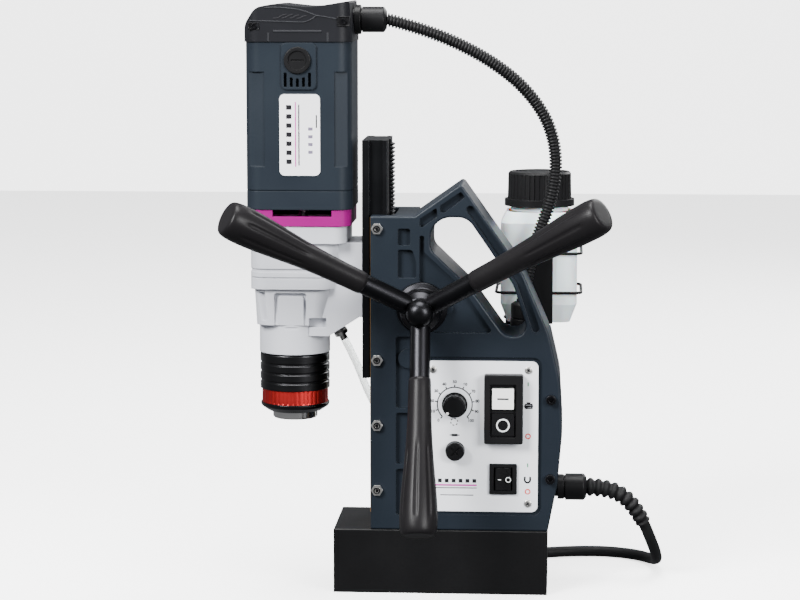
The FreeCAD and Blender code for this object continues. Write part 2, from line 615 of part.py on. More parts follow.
# ---------------------------------------------------------------- slide rail and rack
rail = body("slide_rail")
neck = S["rail_neck_half"]
edge = S["rail_half"]
rail_section = outline([(S["rail_front"], -edge, 0.8), (-56.3, -edge, 0.5), (-56.3, -neck),
                        (-46, -neck), (-46, -edge, 0.5), (-42, -edge, 0.8), (-42, -9), (-45, -9),
                        (-45, 9), (-42, 9), (-42, edge, 0.8), (-46, edge, 0.5), (-46, neck),
                        (-56.3, neck), (-56.3, edge, 0.5), (S["rail_front"], edge, 0.8)])
pad(rail, "XY", [rail_section], "rail_bottom", "rail_top")
RAIL_SCREWS = [(y, z) for y in (-18, 18) for z in (226, 268)]
pocket(rail, "YZ", [disc(y, z, 3) for y, z in RAIL_SCREWS], "rail_front", -42)
pocket(rail, "YZ", [disc(y, z, 5.2) for y, z in RAIL_SCREWS], -49, -42)
keep(rail)

RACK_PITCH = math.pi * S["rack_module"]
RACK_LINE = S["shaft_x"] - S["pinion_teeth"] * S["rack_module"] / 2
slope = math.tan(math.radians(20))
thickness = RACK_PITCH / 4 - 0.06
tip_half = thickness - slope
root_half = thickness + 1.25 * slope
teeth_below = int((S["shaft_z"] - S["rail_bottom"]) / RACK_PITCH) - 1
teeth_above = int((S["rail_top"] - S["shaft_z"]) / RACK_PITCH) - 1
rack_points = [(S["rack_back"], S["rail_bottom"]), (RACK_LINE - 1.25, S["rail_bottom"])]
for tooth in range(-teeth_below, teeth_above + 1):
    z = S["shaft_z"] + (tooth + 0.5) * RACK_PITCH
    rack_points += [(RACK_LINE - 1.25, z - root_half), (RACK_LINE + 1, z - tip_half),
                    (RACK_LINE + 1, z + tip_half), (RACK_LINE - 1.25, z + root_half)]
rack_points += [(RACK_LINE - 1.25, S["rail_top"]), (S["rack_back"], S["rail_top"])]
rack = body("feed_rack")
pad(rack, "XZ", [outline(rack_points)], "-rack_half", "rack_half")
keep(rack)
keep(group("rail_screws", [cap_screw(f"rail_screw_{n}", -49, y, z, 4.6, 3, 22, ALONG_X)
                           for n, (y, z) in enumerate(RAIL_SCREWS)]))

# ---------------------------------------------------------------- gearbox casting
gearbox = body("gearbox_housing_blank")


def section(left, right, depth, corner):
    return [rectangle(left, -depth, right, depth, corner)]


def loft(owner, stations):
    """Ruled solid through (height, loops) stations."""
    sketches = [sketch_on(owner, "XY", z, loops) for z, loops in stations]
    feature = owner.newObject("PartDesign::AdditiveLoft", f"{owner.Name}_loft")
    feature.Profile = sketches[0]
    feature.Sections = sketches[1:]
    feature.Ruled = True
    return feature


pad(gearbox, "XY", section(-150.5, -74.5, 38, 9), "flange_bottom", "ring_bottom")
loft(gearbox, [(S["flange_bottom"], section(-150, -80, 35, 13)), (239, section(-150.2, -83, 33.5, 13))])
for low, high in ((252.6, 255.2), (247.9, 248.6)):
    pocket(gearbox, "XY", section(-153, -78, 37, 13) + section(-149.4, -81.8, 33.2, 12.2), low, high)
loft(gearbox, [(239, section(-147.6, -85, 31, 13)), (210, section(-146.4, -89.6, 28, 13))])
pad(gearbox, "XY", [disc(S["spindle_axis"], 0, S["neck_radius"])], "neck_bottom", 212)
web = outline([(-104, S["flange_bottom"]), (S["rail_front"], S["flange_bottom"]),
               (S["rail_front"], 217), (-64.5, 217), (-88.9, 201.5, 2), (-104, 201.5)])
pad(gearbox, "XZ", [web], -26, 26)
pocket(gearbox, "XZ", [rectangle(-131, 206.5, -106, 236, 2), rectangle(-127.5, 208.5, -108, 233.5, 2)],
       -45, -27.4)
pocket(gearbox, "XZ", [rectangle(-104, 208.6, -90.5, 216, 0.8)], -30, -22)
pocket(gearbox, "XZ", [outline([(-146, 236.5, 1), (-138.4, 236.5, 1), (-137, 214, 1.5), (-144.6, 214, 1.5)])],
       -45, -25.5)
# gear room, bearing bores and the idler's lower bore
pocket(gearbox, "XY", [rectangle(-138, -21, -87, 28, 5)], 246, "ring_bottom")
pocket(gearbox, "XY", [disc(S["spindle_axis"], 0, 16)], "neck_bottom", 243)
pocket(gearbox, "XY", [disc(S["spindle_axis"], 0, 9)], 242, 247)
pocket(gearbox, "XY", [disc(S["idler_x"], S["idler_y"], 3.05)], 240, 247)
pocket(gearbox, "YZ", [disc(y, z, 3) for y, z in RAIL_SCREWS], -72, "rail_front")

# hose fitting: threaded shank in the web's underside, hex and barb, leaning towards the column
FITTING_AT = Vector(-87, 12, 209)
FITTING_WAY = Rotation(Vector(0, 0, 1), Vector(0.42, 0.22, -0.88))
fitting = turned("hose_fitting", [(0, 0), (3.5, 0), (3.5, 9), (5.6, 9, 0.4), (5.6, 12.5, 0.4), (3, 12.5),
                                  (3, 17), (0, 17)], FITTING_AT.x, FITTING_AT.y, FITTING_AT.z,
                 FITTING_WAY)
keep(fitting)
seat = turned("fitting_seat", [(0, -1), (3.5, -1), (3.5, 6), (6.4, 6), (6.4, 30), (0, 30)],
              FITTING_AT.x, FITTING_AT.y, FITTING_AT.z, FITTING_WAY)
keep(cut("gearbox_housing", gearbox, [seat]))

# ---------------------------------------------------------------- spacer ring over the gearbox
ring = body("fan_ring")
MOTOR = (S["motor_left"], S["motor_right"])
pad(ring, "XY", section(MOTOR[0] + 0.8, MOTOR[1] - 1.4, 39.2, 10), "ring_bottom", "motor_bottom")
pocket(ring, "XY", section(MOTOR[0] + 3.8, MOTOR[1] - 4.4, 36.2, 8), "ring_bottom + 3", "motor_bottom")
pocket(ring, "XZ", [rectangle(-131, 297, -85, 304)], -45, -30)
pocket(ring, "XZ", [rectangle(-131, 297, -85, 304)], 30, 45)
pad(ring, "XY", [disc(S["motor_axis"], 0, 12)], 281, "ring_bottom + 1")
pad(ring, "XY", [disc(S["idler_x"], S["idler_y"], 6)], 278, "ring_bottom + 1")
pocket(ring, "XY", [disc(S["motor_axis"], 0, 9.5)], 270, "ring_bottom")
pocket(ring, "XY", [disc(S["motor_axis"], 0, 5.5)], "ring_bottom - 1", "ring_bottom + 4")
pocket(ring, "XY", [disc(S["idler_x"], S["idler_y"], 3.05)], 270, 286)
keep(ring)

# ---------------------------------------------------------------- motor
motor = body("motor_housing")
pad(motor, "XY", section(MOTOR[0], MOTOR[1], S["motor_half"], 12), "motor_bottom", "motor_top")
# sloping flanks beside the middle of the front and back, and a parting groove
for inner_x, outer_x in ((-136.8, MOTOR[0] - 1), (-82.2, MOTOR[1] + 1)):
    for side in (-1, 1):
        flank = outline([(inner_x, side * 41), (inner_x, side * 39.3), (outer_x, side * 34.6),
                         (outer_x, side * 41)])
        pocket(motor, "XY", [flank], 335.8, 409)
pocket(motor, "XY", section(MOTOR[0] - 1, MOTOR[1] + 1, 41, 12) +
       section(MOTOR[0] + 0.6, MOTOR[1] - 0.6, 39.4, 11.4), 316.8, 317.5)
pad(motor, "XZ", [rectangle(-123.3, 395.4, -96.3, 431.6, 4)], "-motor_half - 1.4", "-motor_half")
pad(motor, "XZ", [rectangle(-123.3, 395.4, -96.3, 431.6, 4)], "motor_half", "motor_half + 1.4")
pocket(motor, "XY", section(MOTOR[0] + 3, MOTOR[1] - 3, 37, 9), "motor_bottom", "motor_top")
BRUSH_HEIGHT = 418
pocket(motor, "XZ", [disc(S["motor_axis"], BRUSH_HEIGHT, 6.8)], -45, 45)
slots = [rectangle(S["motor_axis"] + offset - 1.1, 397.6, S["motor_axis"] + offset + 1.1, top, 0.5)
         for offset, top in ((-9.4, 408.4), (-4.7, 404.8), (0, 403.9), (4.7, 404.8), (9.4, 408.4))]
pocket(motor, "XZ", slots, -45, -36)
pocket(motor, "XZ", slots, 36, 45)
keep(motor)

stator = body("motor_stator")
pad(stator, "XY", [rectangle(-147.8, -37, -73.8, 37, 14), disc(S["motor_axis"], 0, 24.3)], 325, 385)
keep(stator)

CARBON = [("near", -37, -11.3), ("far", 11.3, 37)]
keep(group("carbon_brushes", [box(f"brush_{side}", ("motor_axis - 3", "motor_axis + 3"), (low, high),
                                  (BRUSH_HEIGHT - 5, BRUSH_HEIGHT + 5)) for side, low, high in CARBON]))
brush_caps = []
for side, face, turn in (("near", -37, FACING_OPERATOR), ("far", 37, Rotation(Vector(1, 0, 0), -90))):
    blank = turned(f"brush_cap_{side}_blank", [(0, 0), (6.8, 0), (6.8, 4.4), (10.4, 4.4), (10.4, 6.4, 0.8),
                                               (7.4, 6.4), (7.2, 5.4), (0, 5.4)],
                   "motor_axis", face, BRUSH_HEIGHT, turn)
    slot_depth = (face - 6, face - 4.6) if face < 0 else (face + 4.6, face + 6)
    brush_caps.append(cut(f"brush_cap_{side}", blank, [
        box(f"brush_cap_slot_{side}", ("motor_axis - 5", "motor_axis + 5"), slot_depth,
            (BRUSH_HEIGHT - 0.6, BRUSH_HEIGHT + 0.6))]))
keep(group("brush_caps", brush_caps))

cap_block = body("motor_cap_profile")
pad(cap_block, "XZ", [outline([(MOTOR[0] - 1.2, S["motor_top"]), (MOTOR[0] - 0.6, 445, 14),
                               (-143.5, 458.5, 12), (-128, 461.4, 30), (-101, 458.4, 60),
                               (-71, 463.4, 1.5), (MOTOR[1] + 0.6, S["motor_top"])])], -42, 42)
cap_plan = rounded_box("motor_cap_plan", (MOTOR[0] - 1, "motor_right + 0.5"),
                       ("-motor_half - 1", "motor_half + 1"), ("motor_top", 470), 12)
cap_solid = common("motor_cap_solid", cap_block, cap_plan)
cap_hollow = rounded_box("motor_cap_hollow", (MOTOR[0] + 3, "motor_right - 3"),
                         ("-motor_half + 3", "motor_half - 3"), ("motor_top - 1", 452), 9)
cap_shell = cut("motor_cap_shell", cap_solid, [
    cap_hollow, cylinder("gland_hole", (-74, 0, 448.6), "x", 9.5, 8)])
bearing_seat = cut("upper_bearing_seat", cylinder("upper_seat_post", ("motor_axis", 0, 433), "z", 13, 20),
                   [cylinder("upper_seat_bore", ("motor_axis", 0, 432), "z", 9.5, 9),
                    cylinder("upper_seat_relief", ("motor_axis", 0, 432), "z", 5, 16)])
keep(fuse("motor_cap", [cap_shell, bearing_seat]))

# ---------------------------------------------------------------- rotating train
to_idler = math.atan2(S["idler_y"], S["idler_x"] - S["motor_axis"])
spindle_to_idler = math.atan2(S["idler_y"], S["idler_x"] - S["spindle_axis"])
TRAIN = dict(addendum=0.7, dedendum=1.1, backlash=0.12)


def wheel(teeth, phase, u, v):
    return outline(shifted(gear_outline(teeth, S["gear_module"], phase=phase, **TRAIN), u, v))


armature = body("armature")
at_motor = (S["motor_axis"], 0)
pad(armature, "XY", [disc(*at_motor, 4)], 276, 446)
pad(armature, "XY", [wheel(S["armature_teeth"], to_idler, *at_motor)], 264.8, 276.5)
for low, high, radius in ((330, 380, 23.8), (322, 390, 18), (409, 427, 11), (304.5, 307, 30),
                          (304, 318, 9)):
    pad(armature, "XY", [disc(*at_motor, radius)], low, high)
blade = [shifted([(r * math.cos(a + da), r * math.sin(a + da)) for r, da in
                  ((8, -0.09), (29, 0.3), (29, 0.36), (8, 0.09))], *at_motor)
         for a in (2 * math.pi * n / 9 for n in range(9))]
for points in blade:
    pad(armature, "XY", [outline(points)], 306, 316)
keep(armature)

idler = body("idler_gear")
at_idler = (S["idler_x"], S["idler_y"])
pad(idler, "XY", [disc(*at_idler, 3)], 241, 285)
pad(idler, "XY", [wheel(S["idler_pinion_teeth"],
                        spindle_to_idler + math.pi + math.pi / S["idler_pinion_teeth"], *at_idler)],
    249, 264)
pad(idler, "XY", [disc(*at_idler, 3.6)], 247.5, 276)
pad(idler, "XY", [wheel(S["idler_wheel_teeth"], to_idler + math.pi + math.pi / S["idler_wheel_teeth"],
                        *at_idler)], 266, 274)
keep(idler)

spindle = body("spindle")
at_spindle = (S["spindle_axis"], 0)
pad(spindle, "XY", [disc(*at_spindle, 8)], 176, 262)
pad(spindle, "XY", [wheel(S["spindle_teeth"], spindle_to_idler, *at_spindle)], 250, 262)
keep(spindle)

BEARINGS = [("spindle_lower", at_spindle, 8.05, 16, 190, 200),
            ("spindle_upper", at_spindle, 8.05, 16, 232, 242),
            ("armature_lower", at_motor, 4.05, 9.5, 282, 289.2),
            ("armature_upper", at_motor, 4.05, 9.5, 433.5, 440.8)]
keep(group("ball_bearings", [
    turned(f"{name}_bearing", [(inner, 0), (outer, 0, 0.4), (outer, high - low, 0.4), (inner, high - low)],
           at[0], at[1], low) for name, at, inner, outer, low, high in BEARINGS]))

# ---------------------------------------------------------------- chuck
chuck = turned("chuck_body", [(S["chuck_bore_radius"], 0), (16.6, 0), (17.75, 1.2), (17.75, 51), (8, 51),
                              (8, 43), (3, 43), (3, 39), (S["chuck_bore_radius"], 39)],
               "spindle_axis", 0, "nose_bottom")
keep(chuck)
keep(turned("chuck_end_ring", [(17.75, 0), (21, 0, 1), (27.3, 4.2, 3), (27.3, 6.9, 0.3), (17.75, 6.9)],
            "spindle_axis", 0, 139))
knurl = [(17.75, 0), (26.3, 0, 0.6), (26.3, 10.9, 0.6), (17.75, 10.9)]
keep(turned("chuck_red_ring", knurl, "spindle_axis", 0, 146))
sleeve_profile = [(26.7, 0), (27.6, 0, 0.3)]
for low in (5.2, 12.4, 19.6):
    sleeve_profile += [(27.6, low, 0.3), (26.9, low + 0.7), (26.9, low + 1.6), (27.6, low + 2.3, 0.3)]
sleeve_profile += [(27.6, 28.4, 1), (18.05, 28.4), (18.05, 13), (26.7, 13)]
keep(turned("chuck_sleeve", sleeve_profile, "spindle_axis", 0, "sleeve_bottom"))


# ---------------------------------------------------------------- tubes along hand-laid routes
def bent_path(name, points):
    """Straight runs joined by tangent arcs; prints each arc's radius."""
    corners = [Vector(*p) for p in points]
    edges = []
    radii = []
    start = corners[0]
    for before, here, after in zip(corners, corners[1:], corners[2:]):
        to_before = (before - here).normalize()
        to_after = (after - here).normalize()
        half_turn = (math.pi - to_before.getAngle(to_after)) / 2
        reach = 0.45 * min((before - here).Length, (after - here).Length)
        radius = reach / math.tan(half_turn)
        radii.append(round(radius, 1))
        inward = (to_before + to_after).normalize()
        middle = here + inward * (radius / math.cos(half_turn) - radius)
        first = here + to_before * reach
        last = here + to_after * reach
        edges.append(Part.makeLine(start, first))
        edges.append(Part.Arc(first, middle, last).toShape())
        start = last
    edges.append(Part.makeLine(start, corners[-1]))
    print(name, "radii", radii)
    return Part.Wire(edges)


def tube(path, radius):
    first = path.Edges[0]
    start = first.valueAt(first.FirstParameter)
    circle = Part.Wire(Part.makeCircle(radius, start, first.tangentAt(first.FirstParameter)))
    return path.makePipeShell([circle], True, True)


def shaped(name, shape):
    """A piece whose form comes from a hand-laid route."""
    feature = doc.addObject("Part::Feature", name)
    feature.Shape = shape
    return feature


def report(name, shape, path, radius):
    print(name, "length", round(path.Length), "volume ratio",
          round(shape.Volume / (math.pi * radius ** 2 * path.Length), 4))


doc.recompute()
CABLE_R = S["cable_diameter"] / 2
MAINS_ROUTE = [(114.6, 0, 78.6), (136, 0, 78.6), (157.5, 0.5, 70.5), (174.5, 4, 52.5),
               (184.5, 15, 31), (188, 36, 13.5), (184, 64, 5.5), (165, 88, 4.5), (134, 98, 4.5),
               (102, 94, 4.5), (71, 83, 4.5), (38, 72, 4.5), (5, 67.5, 4.5)]
TAIL_ROUTE = [(-48, 150.7, 13.5), (-37, 173, 12.5), (-20, 190, 9), (-1, 197, 6), (18, 197, 6)]
mains_path = bent_path("mains cable", MAINS_ROUTE)
tail_path = bent_path("cable tail", TAIL_ROUTE)
coil_at = Vector(S["coil_x"], S["coil_y"], 0)
PLUG_WAY = Rotation(Vector(0, 0, 1), Vector(0.965, 0, 0.262))
plug_blank = turned("plug_moulding", [(0, 0), (5.4, 0, 1), (8.5, 8, 2), (11, 18, 5), (15, 27, 3),
                                      (17.4, 29, 1), (17.4, 44, 1), (0, 44)], 18, 197, 6, PLUG_WAY)
pins = []
for side in (-9.5, 9.5):
    pin_at = Vector(18, 197, 6) + PLUG_WAY.multVec(Vector(0, side, 44))
    pins.append(turned(f"plug_pin_{side > 0}", [(0, 0), (2.4, 0), (2.4, 18, 1), (0, 18.8)],
                       pin_at.x, pin_at.y, pin_at.z, PLUG_WAY))
mains_plug = keep(fuse("mains_plug", [plug_blank] + pins))
hank = turned("cable_coil", [(S["coil_inner"], 0), (S["coil_outer"], 0, 3),
                             (S["coil_outer"], S["coil_height"], 4),
                             (S["coil_inner"], S["coil_height"], 4)], "coil_x", "coil_y", 0)
doc.recompute()
mains_tube = tube(mains_path, CABLE_R)
tail_tube = tube(tail_path, CABLE_R)
report("mains cable", mains_tube, mains_path, CABLE_R)
report("cable tail", tail_tube, tail_path, CABLE_R)
tail_tube = tail_tube.cut(hank.Shape).cut(mains_plug.Shape)
keep(shaped("mains_cable", Part.makeCompound([mains_tube.cut(hank.Shape), tail_tube])))
keep(hank)
relief_path = Part.Wire(mains_path.Edges[:2])
keep(shaped("cable_relief", tube(relief_path, 7.1).cut(mains_tube)))

CONDUIT_ROUTE = [(-44.6, 0, 448.6), (-26, 1, 444), (6, 7, 432.5), (37, 15, 416), (64, 23, 394.5),
                 (83, 29, 367), (89.5, 33, 336), (85, 34, 305), (75, 34, 278), (67, 33, 251),
                 (62.5, 33, 223)]
conduit_path = bent_path("motor conduit", CONDUIT_ROUTE)
conduit_tube = tube(conduit_path, S["conduit_diameter"] / 2)
report("motor conduit", conduit_tube, conduit_path, S["conduit_diameter"] / 2)
keep(shaped("motor_conduit", conduit_tube.cut([upper_gland.Shape, lower_gland.Shape])))

HOSE_ROUTE = [FITTING_AT + FITTING_WAY.multVec(Vector(0, 0, run)) for run in (17, 39)]
HOSE_ROUTE += [(-63, 36, 148), (-52, 53, 122), (-30, 60, 102), (0, 62, 95), (28, 70, 102), (46, 85, 122),
               (52, 95, 148), (52, 95, 175)]
hose_path = bent_path("coolant hose", HOSE_ROUTE)
hose_tube = tube(hose_path, S["hose_diameter"] / 2)
report("coolant hose", hose_tube, hose_path, S["hose_diameter"] / 2)
keep(shaped("coolant_hose", hose_tube))

# ---------------------------------------------------------------- coolant bottle and its carrier
BOTTLE = (S["bottle_x"], S["bottle_y"])


def bottle_section(half, corner):
    return [rectangle(BOTTLE[0] - half, BOTTLE[1] - half, BOTTLE[0] + half, BOTTLE[1] + half, corner)]


SHELL = [(S["bottle_bottom"], 25.5, 9), (218, 31, 11), (284, 31, 11), (292.5, 26.5, 14)]
WALL = 1.6
bottle = body("bottle")
loft(bottle, [(z, bottle_section(half_side, corner)) for z, half_side, corner in SHELL])
pad(bottle, "XY", [disc(*BOTTLE, 23.5)], 291.5, 301.5)
hollow = [(z + (WALL if z < 210 else 0), half_side - WALL, corner - WALL) for z, half_side, corner in SHELL]
inner = [sketch_on(bottle, "XY", z, bottle_section(half_side, corner)) for z, half_side, corner in hollow]
scoop = bottle.newObject("PartDesign::SubtractiveLoft", "bottle_hollow")
scoop.Profile = inner[0]
scoop.Sections = inner[1:]
scoop.Ruled = True
pocket(bottle, "XY", [disc(*BOTTLE, 21.5)], 290.5, 301.5)
OUTLET = (52, 95)
pocket(bottle, "XY", [disc(*OUTLET, 3.2)], 202, 206)
keep(bottle)
keep(turned("bottle_cap", [(23.8, 0), (28.4, 0, 0.8), (28.4, 5.5, 0.8), (26.2, 6.3), (25.6, 27.6, 2.5),
                           (0, 28.2), (0, 25), (23.8, 25)], "bottle_x", "bottle_y", 296.5))
keep(turned("bottle_outlet", [(0, 0), (3, 0), (3, 12), (4.8, 12), (4.8, 26), (6.2, 26), (6.2, 28),
                              (3.2, 28), (3.2, 30), (0, 30)], *OUTLET, 175))
lever_hub = turned("lever_hub", [(0, 0), (3.6, 0), (3.6, 4, 0.6), (0, 4)], OUTLET[0], OUTLET[1] + 5.1, 194,
                   Rotation(Vector(1, 0, 0), -90))
keep(fuse("tap_lever", [lever_hub, box("lever_arm", (50.4, 53.6), (101.2, 104), (174, 194))]))


def hoop(z):
    """One welded wire hoop round the bottle, mitred into straight sides and round corners."""
    reach = S["bottle_half"] + 3.4
    near, far = BOTTLE[1] - S["bottle_half"] - 1.8, BOTTLE[1] + reach
    left, right = BOTTLE[0] - reach, BOTTLE[0] + reach
    flat = outline([(left, near, 7), (right, near, 7), (right, far, 12), (left, far, 12)])
    path = Part.Wire([piece.toShape() for piece in flat])
    path.translate(Vector(0, 0, z))
    start = path.Edges[0].valueAt(path.Edges[0].FirstParameter)
    way = path.Edges[0].tangentAt(path.Edges[0].FirstParameter)
    return path.makePipeShell([Part.Wire(Part.makeCircle(1.2, start, way))], True, True)


hoops = [hoop(z) for z in (228, 260)]
rack_shape = Part.makeCompound(hoops)
keep(shaped("bottle_rack", rack_shape))
bracket = body("bottle_bracket_blank")
pad(bracket, "XZ", [rectangle(62, 150, 84, 262, 1.5)], 44.5, 47)
pad(bracket, "YZ", [outline([(44.5, 203), (47.9, 203, 1), (47.9, 262, 1), (44.5, 262)])], 84, 86.5)
pad(bracket, "XY", [outline([(62, 44.5), (84, 44.5), (84, 108, 4), (62, 108, 4)])], 200, 202.6)
pocket(bracket, "XZ", [disc(70, 160, 2.6), disc(70, 180, 2.6), rectangle(77.5, 185.8, 90, 194.2, 1.5)],
       44, 48)
hoop_copy = shaped("hoop_notches", rack_shape)
keep(cut("bottle_bracket", bracket, [hoop_copy]))

# ---------------------------------------------------------------- checks and export
doc.recompute()
for item in doc.Objects:
    if "Invalid" in item.State or "Error" in item.State:
        raise SystemExit(f"{item.Label} failed: {item.State}")
for piece in NODES:
    shape = piece.Shape
    if shape.isNull() or not shape.isValid() or not shape.Solids:
        raise SystemExit(f"{piece.Label} has no valid solid")
    shape.exportStep(f"parts/{piece.Label}.step")
print(len(NODES), "nodes")
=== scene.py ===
import math
import bmesh
import bpy
from mathutils import Matrix, Vector


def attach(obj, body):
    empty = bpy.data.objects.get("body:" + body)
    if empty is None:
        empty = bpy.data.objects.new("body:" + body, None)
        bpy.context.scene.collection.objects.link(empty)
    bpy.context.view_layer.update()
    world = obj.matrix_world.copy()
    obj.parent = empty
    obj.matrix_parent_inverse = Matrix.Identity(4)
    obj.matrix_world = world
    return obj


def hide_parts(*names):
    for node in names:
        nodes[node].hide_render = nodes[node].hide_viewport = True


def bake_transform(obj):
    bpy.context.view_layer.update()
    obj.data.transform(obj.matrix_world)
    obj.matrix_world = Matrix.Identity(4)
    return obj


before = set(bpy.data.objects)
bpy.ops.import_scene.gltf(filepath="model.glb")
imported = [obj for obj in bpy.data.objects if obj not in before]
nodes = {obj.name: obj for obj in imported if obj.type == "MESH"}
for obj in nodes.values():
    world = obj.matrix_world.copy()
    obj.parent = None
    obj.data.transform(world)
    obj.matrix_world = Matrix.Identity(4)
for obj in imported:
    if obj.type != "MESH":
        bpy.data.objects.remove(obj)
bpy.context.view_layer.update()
bpy.ops.object.select_all(action="DESELECT")

# ---------------------------------------------------------------- studio
# The press stands on a pale, even sheet under soft boxes, seen from a little above
# and to the right of its middle.
CAMERA_PLACE = (0.09324, -2.0, 0.48644)
CAMERA_AIM = (-0.03153, -0.042, 0.23284)
LAMP_AIM = (-0.03, 0, 0.22)
bpy.ops.object.camera_add(location=CAMERA_PLACE)
camera = bpy.context.object
look = Vector(CAMERA_AIM) - camera.location
camera.rotation_euler = look.to_track_quat("-Z", "Y").to_euler()
camera.data.lens = 114.66
camera.data.sensor_width = 36
bpy.context.scene.camera = camera

# Sockets by number: a Mix node's colour sockets share their names with others.
OBJECT_COORDINATES = 3
MIX_FIRST, MIX_SECOND, MIX_RESULT = 6, 7, 2


class Wire:
    """A socket of a material under way; arithmetic on it adds Math nodes."""

    def __init__(self, paint, socket):
        self.paint = paint
        self.socket = socket

    def maths(self, operation, other):
        return self.paint.node("ShaderNodeMath", {"operation": operation}, {0: self, 1: other})

    def __add__(self, other):
        return self.maths("ADD", other)

    def __mul__(self, other):
        return self.maths("MULTIPLY", other)

    __radd__ = __add__
    __rmul__ = __mul__


class Paint:
    """A node material; settings of the shader that are the same all over go on its sockets."""

    def __init__(self, name, **constants):
        self.material = bpy.data.materials.new(name)
        self.material.use_nodes = True
        self.tree = self.material.node_tree
        self.shader = self.tree.nodes["Principled BSDF"]
        for socket, value in constants.items():
            self.shader.inputs[socket.replace("_", " ")].default_value = value

    def node(self, kind, settings, values, output=0):
        made = self.tree.nodes.new(kind)
        for key, value in settings.items():
            setattr(made, key, value)
        for socket, value in values.items():
            self.feed(made.inputs[socket], value)
        return Wire(self, made.outputs[output])

    def feed(self, target, value):
        if isinstance(value, Wire):
            self.tree.links.new(value.socket, target)
        else:
            target.default_value = value

    def set(self, socket, value):
        self.feed(self.shader.inputs[socket], value)

    def place(self, stretch=(1, 1, 1)):
        """The piece's own coordinates, stretched along its axes."""
        here = self.node("ShaderNodeTexCoord", {}, {}, OBJECT_COORDINATES)
        return self.node("ShaderNodeMapping", {}, {"Vector": here, "Scale": stretch})

    def noise(self, scale, detail=2, stretch=(1, 1, 1)):
        return self.node("ShaderNodeTexNoise", {"noise_dimensions": "3D"},
                         {"Vector": self.place(stretch), "Scale": scale, "Detail": detail})

    def between(self, mask, first, second):
        """Colour first where mask is 0 and second where it is 1."""
        return self.node("ShaderNodeMix", {"data_type": "RGBA"},
                         {"Factor": mask, MIX_FIRST: (*first, 1), MIX_SECOND: (*second, 1)}, MIX_RESULT)

    def relief(self, height, distance, edge=0.0004):
        """Bump of a height over edges that are rounded off by edge."""
        rounded = self.node("ShaderNodeBevel", {"samples": 4}, {"Radius": edge})
        self.set("Normal", self.node("ShaderNodeBump", {}, {
            "Height": height, "Distance": distance, "Strength": 1, "Normal": rounded}))


def moulded(name, colour, roughness, grain=1400, depth=0.00003, shift=0.15, edge=0.0004, **constants):
    """Fine-grained plastic or textured paint: pebbled relief, slow drift of tone, dusty highs."""
    paint = Paint(name, **{"Specular_IOR_Level": 0.1, **constants})
    drift = paint.noise(22, 3)
    pebble = paint.noise(grain, 2)
    light = tuple(min(1, c * (1 + shift) + 0.002) for c in colour)
    dark = tuple(c * (1 - shift) for c in colour)
    paint.set("Base Color", paint.between(drift * 0.65 + pebble * 0.35, dark, light))
    paint.set("Roughness", drift * 0.16 + pebble * 0.08 + (roughness - 0.12))
    paint.relief(pebble, depth, edge)
    return paint


def machined(name, colour, roughness, stretch, scale=900, depth=0.000012, edge=0.0003, **constants):
    """Cut metal: fine tool lines that run along the axes where stretch is small."""
    paint = Paint(name, Metallic=1, **constants)
    lines = paint.noise(scale, 3, stretch)
    smear = paint.noise(40, 3)
    paint.set("Base Color", paint.between(smear, tuple(c * 0.82 for c in colour), colour))
    paint.set("Roughness", lines * 0.14 + smear * 0.12 + (roughness - 0.13))
    paint.relief(lines, depth, edge)
    return paint


def finish_node(paint, *names):
    """The CAD node's own mesh with this finish."""
    for name in names:
        node = nodes[name]
        node.data.materials.clear()
        node.data.materials.append(paint.material)


bpy.ops.mesh.primitive_plane_add(size=9)
floor = bpy.context.object
floor.name = "floor"
sheet_paint = Paint("studio_sheet", Roughness=0.9, Emission_Strength=2.2, Emission_Color=(1, 1, 1, 1))
sheet_paint.set("Base Color", sheet_paint.between(sheet_paint.noise(3), (0.86, 0.86, 0.86),
                                                  (0.9, 0.9, 0.9)))
floor.data.materials.append(sheet_paint.material)
floor.visible_diffuse = False
floor.visible_glossy = False

bpy.ops.mesh.primitive_plane_add(size=12, location=(0, 3.6, 2), rotation=(math.pi / 2, 0, 0))
backdrop = bpy.context.object
backdrop.name = "backdrop"
glow_paint = Paint("backdrop_glow", Emission_Strength=3.2)
glow_paint.set("Emission Color", glow_paint.between(glow_paint.noise(1), (0.98, 0.98, 0.98), (1, 1, 1)))
backdrop.data.materials.append(glow_paint.material)
backdrop.visible_glossy = False
backdrop.visible_diffuse = False

for name, where, size, power in (("key", (-1.25, -1.5, 1.5), 0.9, 150), ("fill", (1.5, -1.7, 0.9), 0.9, 85),
                                 ("top", (0.0, -0.1, 2.0), 1.1, 85), ("back", (0.9, 1.5, 1.3), 1.2, 35)):
    bpy.ops.object.light_add(type="AREA", location=where)
    lamp = bpy.context.object
    lamp.name = f"softbox_{name}"
    lamp.data.size = size
    lamp.data.energy = power
    lamp.rotation_euler = (Vector(LAMP_AIM) - lamp.location).to_track_quat("-Z", "Y").to_euler()
world = bpy.data.worlds.new("pale_room")
bpy.context.scene.world = world
world.use_nodes = True
world.node_tree.nodes["Background"].inputs["Color"].default_value = (0.93, 0.95, 1, 1)
world.node_tree.nodes["Background"].inputs["Strength"].default_value = 0.28

